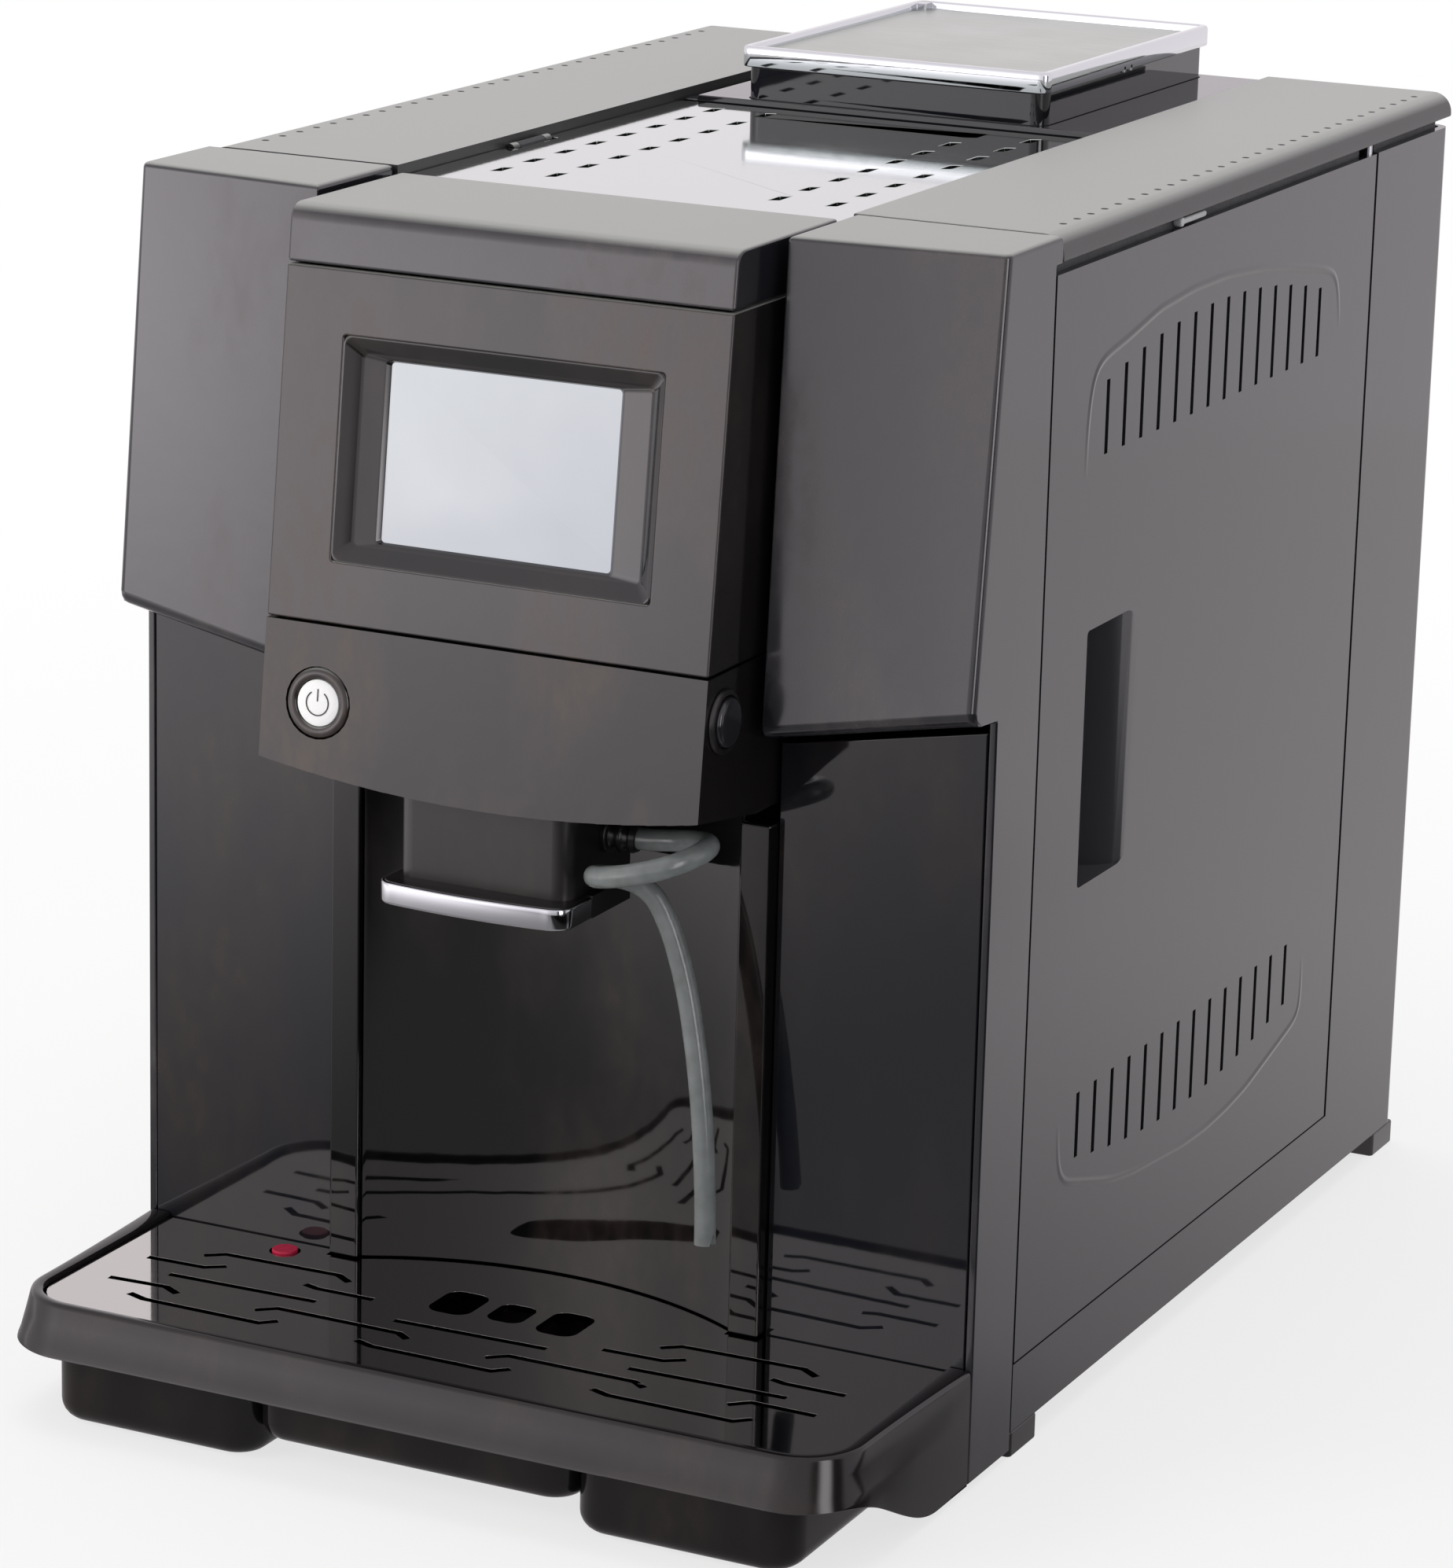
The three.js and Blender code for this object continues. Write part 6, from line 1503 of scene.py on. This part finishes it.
@dataclass
class DripTray:
    """Tray with its flared skirt, deep round-bottomed tubs, mirror grille and float."""

    rim_half: float = 137.0
    rim_reach: float = 117.0
    skirt_level: float = 23.0
    skirt_foot: float = 2.5
    corner: float = 20.0
    back: float = -31.2
    ledge: float = 34.3
    corner_steps: int = 20
    side_steps: int = 25
    wave_start: float = -112.0
    wave_length: float = 60.0
    # Section of the rim and the skirt: inset at the side and in front, level, and whether the wave
    # takes the point down
    section: tuple[tuple[float, float, float, int], ...] = (
        (4.7, 3.5, ledge, 0), (4.7, 3.5, 37.0, 0), (4.4, 3.3, 37.8, 0), (3.9, 2.9, 38.1, 0),
        (1.6, 1.3, 38.1, 0), (0.9, 0.8, 37.95, 0), (0.3, 0.3, 37.5, 0), (0.0, 0.0, 36.8, 0),
        (-0.9, -1.6, 32.0, 0), (-2.1, -3.7, 26.0, 0), (-2.8, -4.7, 23.9, 0), (-2.9, -4.9, 23.2, 1),
        (-2.6, -4.6, 22.9, 1), (-1.2, -3.1, 22.9, 1), (-0.8, -2.6, 23.4, 1), (0.2, -1.2, 27.0, 0),
        (2.2, 2.0, 32.1, 0), (6.2, 5.2, 32.1, 0), (6.2, 5.2, ledge, 0),
    )
    # Behind the front corners the outer wall spreads by this much, up to the casing's width
    widen: float = 2.7
    widen_length: float = 66.0
    widen_power: float = 1.5
    widen_inset: float = 2.0
    widest: float = 139.85
    # Left and right side and foot of each tub
    tubs: tuple[Place, ...] = ((52.0, 123.0, 0.5), (-123.0, -52.0, 0.5), (-53.5, 53.5, 8.0))
    tub_span: Pair = (-115.5, -31.5)
    tub_radius: float = 6.0
    tub_corner: float = 11.0
    tub_steps: int = 6
    tub_close: float = 0.02
    wall: float = 2.2
    # The ledges beside the tubs: their left sides, width, front, corner and span of levels
    ledge_starts: Pair = (-131.0, 120.5)
    ledge_width: float = 10.5
    ledge_front: float = -100.0
    ledge_corner: float = 1.0
    ledge_levels: Pair = (32.1, 34.25)
    # The tongue that reaches into the bay's arc: its corner, the arc with half its turn, its levels
    tongue_corner: Pair = (59.6, -33.0)
    tongue_radius: float = 124.26
    tongue_centre: float = -140.86
    tongue_turn: float = 0.5
    tongue_steps: int = 32
    tongue_levels: Pair = (31.0, 34.2)

    def outline(self, half: float, reach: float, corner: float) -> Array:
        """Open path from the right back end round the front to the left back end.

        Args:
            half: Half width.
            reach: How far the front lies ahead.
            corner: Radius of the front corners.

        Returns:
            The points as x and y.
        """
        turn = np.linspace(0, -np.pi / 2, self.corner_steps + 1)
        round_part = corner * np.column_stack([np.cos(turn), np.sin(turn)])
        right = round_part + [half - corner, corner - reach]
        span = np.linspace(0, 1, self.side_steps + 1)[:-1, None]
        side = np.array([[half, self.back]]) * (1 - span) + right[:1] * span
        return np.vstack([side, right, right[::-1] * [-1, 1], side[::-1] * [-1, 1]])

    def skirt(self) -> Surface:
        """The rim's section carried along the path. Its foot follows a wave: high in front, it falls
        by a smooth step over 60 mm to the low back. Its outer wall spreads on the way by a power.

        Returns:
            The surface.
        """
        rows = []
        for side, ahead, level, low in self.section:
            flat = self.outline(self.rim_half - side, self.rim_reach - ahead, self.corner - side)
            back = np.clip((flat[:, 1] + self.rim_reach - self.corner) / self.widen_length, 0, 1)
            spread = self.widen * back**self.widen_power * (side < self.widen_inset)
            flat[:, 0] = np.clip(flat[:, 0] + np.sign(flat[:, 0]) * spread, -self.widest, self.widest)
            t = np.clip((flat[:, 1] - self.wave_start) / self.wave_length, 0, 1)
            fall = (self.skirt_level - self.skirt_foot) * t * t * (3 - 2 * t)
            rows.append(np.column_stack([flat, level - fall * low]))
        return Surface().grid(np.stack(rows, 1))

    def basin(self, sides: Pair, foot: float, grow: float) -> list[Array]:
        """One skin of a tub whose bottom edge is a quarter circle: the outline is drawn in by radius
        times one minus the cosine as it goes down by radius times the sine, and closes underneath.

        Args:
            sides: Left and right side.
            foot: Level of the underside.
            grow: How far this skin lies inside the outer one.

        Returns:
            The rows from the ledge down to the middle of the bottom.
        """
        quarter = np.linspace(0, np.pi / 2, self.tub_steps + 1)
        radius = self.tub_radius - grow
        inset = np.append(grow, radius * (1 - np.cos(quarter)) + grow)
        level = np.append(self.ledge, foot + grow + radius * (1 - np.sin(quarter)))
        rows = []
        for i, z in zip(inset, level):
            x = (sides[0] + i, sides[1] - i)
            y = (self.tub_span[0] + i, self.tub_span[1] - i)
            rows.append(loop(x, y, max(self.tub_corner - i, 0.4), 8, z))
        centre = rows[-1].mean(0)
        return rows + [centre + (rows[-1] - centre) * self.tub_close]

    def build(self) -> None:
        """Builds the tray, its grille and the float."""
        tray = self.skirt()
        for left, right, foot in self.tubs:
            outside = self.basin((left, right), foot, 0.0)
            inside = self.basin((left, right), foot, self.wall)
            tray.grid(outside + inside[::-1], ring=True)
        for x in self.ledge_starts:
            sides = (x, x + self.ledge_width)
            strip = loop(sides, (self.ledge_front, self.back), self.ledge_corner, 3)
            tray.slab(strip, *self.ledge_levels)
        turn = np.linspace(-self.tongue_turn, self.tongue_turn, self.tongue_steps + 1)
        arc = self.tongue_radius * np.column_stack([np.sin(turn), np.cos(turn)]) + [0, self.tongue_centre]
        corner = np.array([self.tongue_corner])
        tray.slab(np.vstack([corner * [-1, 1], arc, corner]), *self.tongue_levels)
        dressed(tray, "tray_body", Black.TRAY, Placing("tray", ("drip_tray",), sharp=40))
        shell("drip_grille", Bright.GRILLE, 0.45)
        shell("tray_float", Plain.FLOAT, 0.5, 3)


# The rest of the machine


class Inside:
    """The pieces held inside, which keep their solids and get their slot's finish."""

    def build(self) -> None:
        """Gives every node a finish by its slot, whether or not a finer piece stands for it."""
        for name in sorted(frame["nodes"]):
            node = frame["nodes"][name]
            finish = FINISH_OF_SLOT[SLOT_OF[name]]
            node.data.materials.clear()
            node.data.materials.append(finish.value.material())
            log.info("%s: %s", name, finish.value.title)


def main() -> None:
    """Builds the studio, the hose and then each sub-assembly."""
    logging.basicConfig(level=logging.INFO, format="%(name)s %(message)s")
    Studio().build()
    MilkHose().build()
    for kind in (Inside, Casing, ServiceDoor, Head, TopDeck, HopperLid, CoffeeSpout, DripTray):
        kind().build()
        log.info("%s done", kind.__name__)


if __name__ == "__main__":
    main()
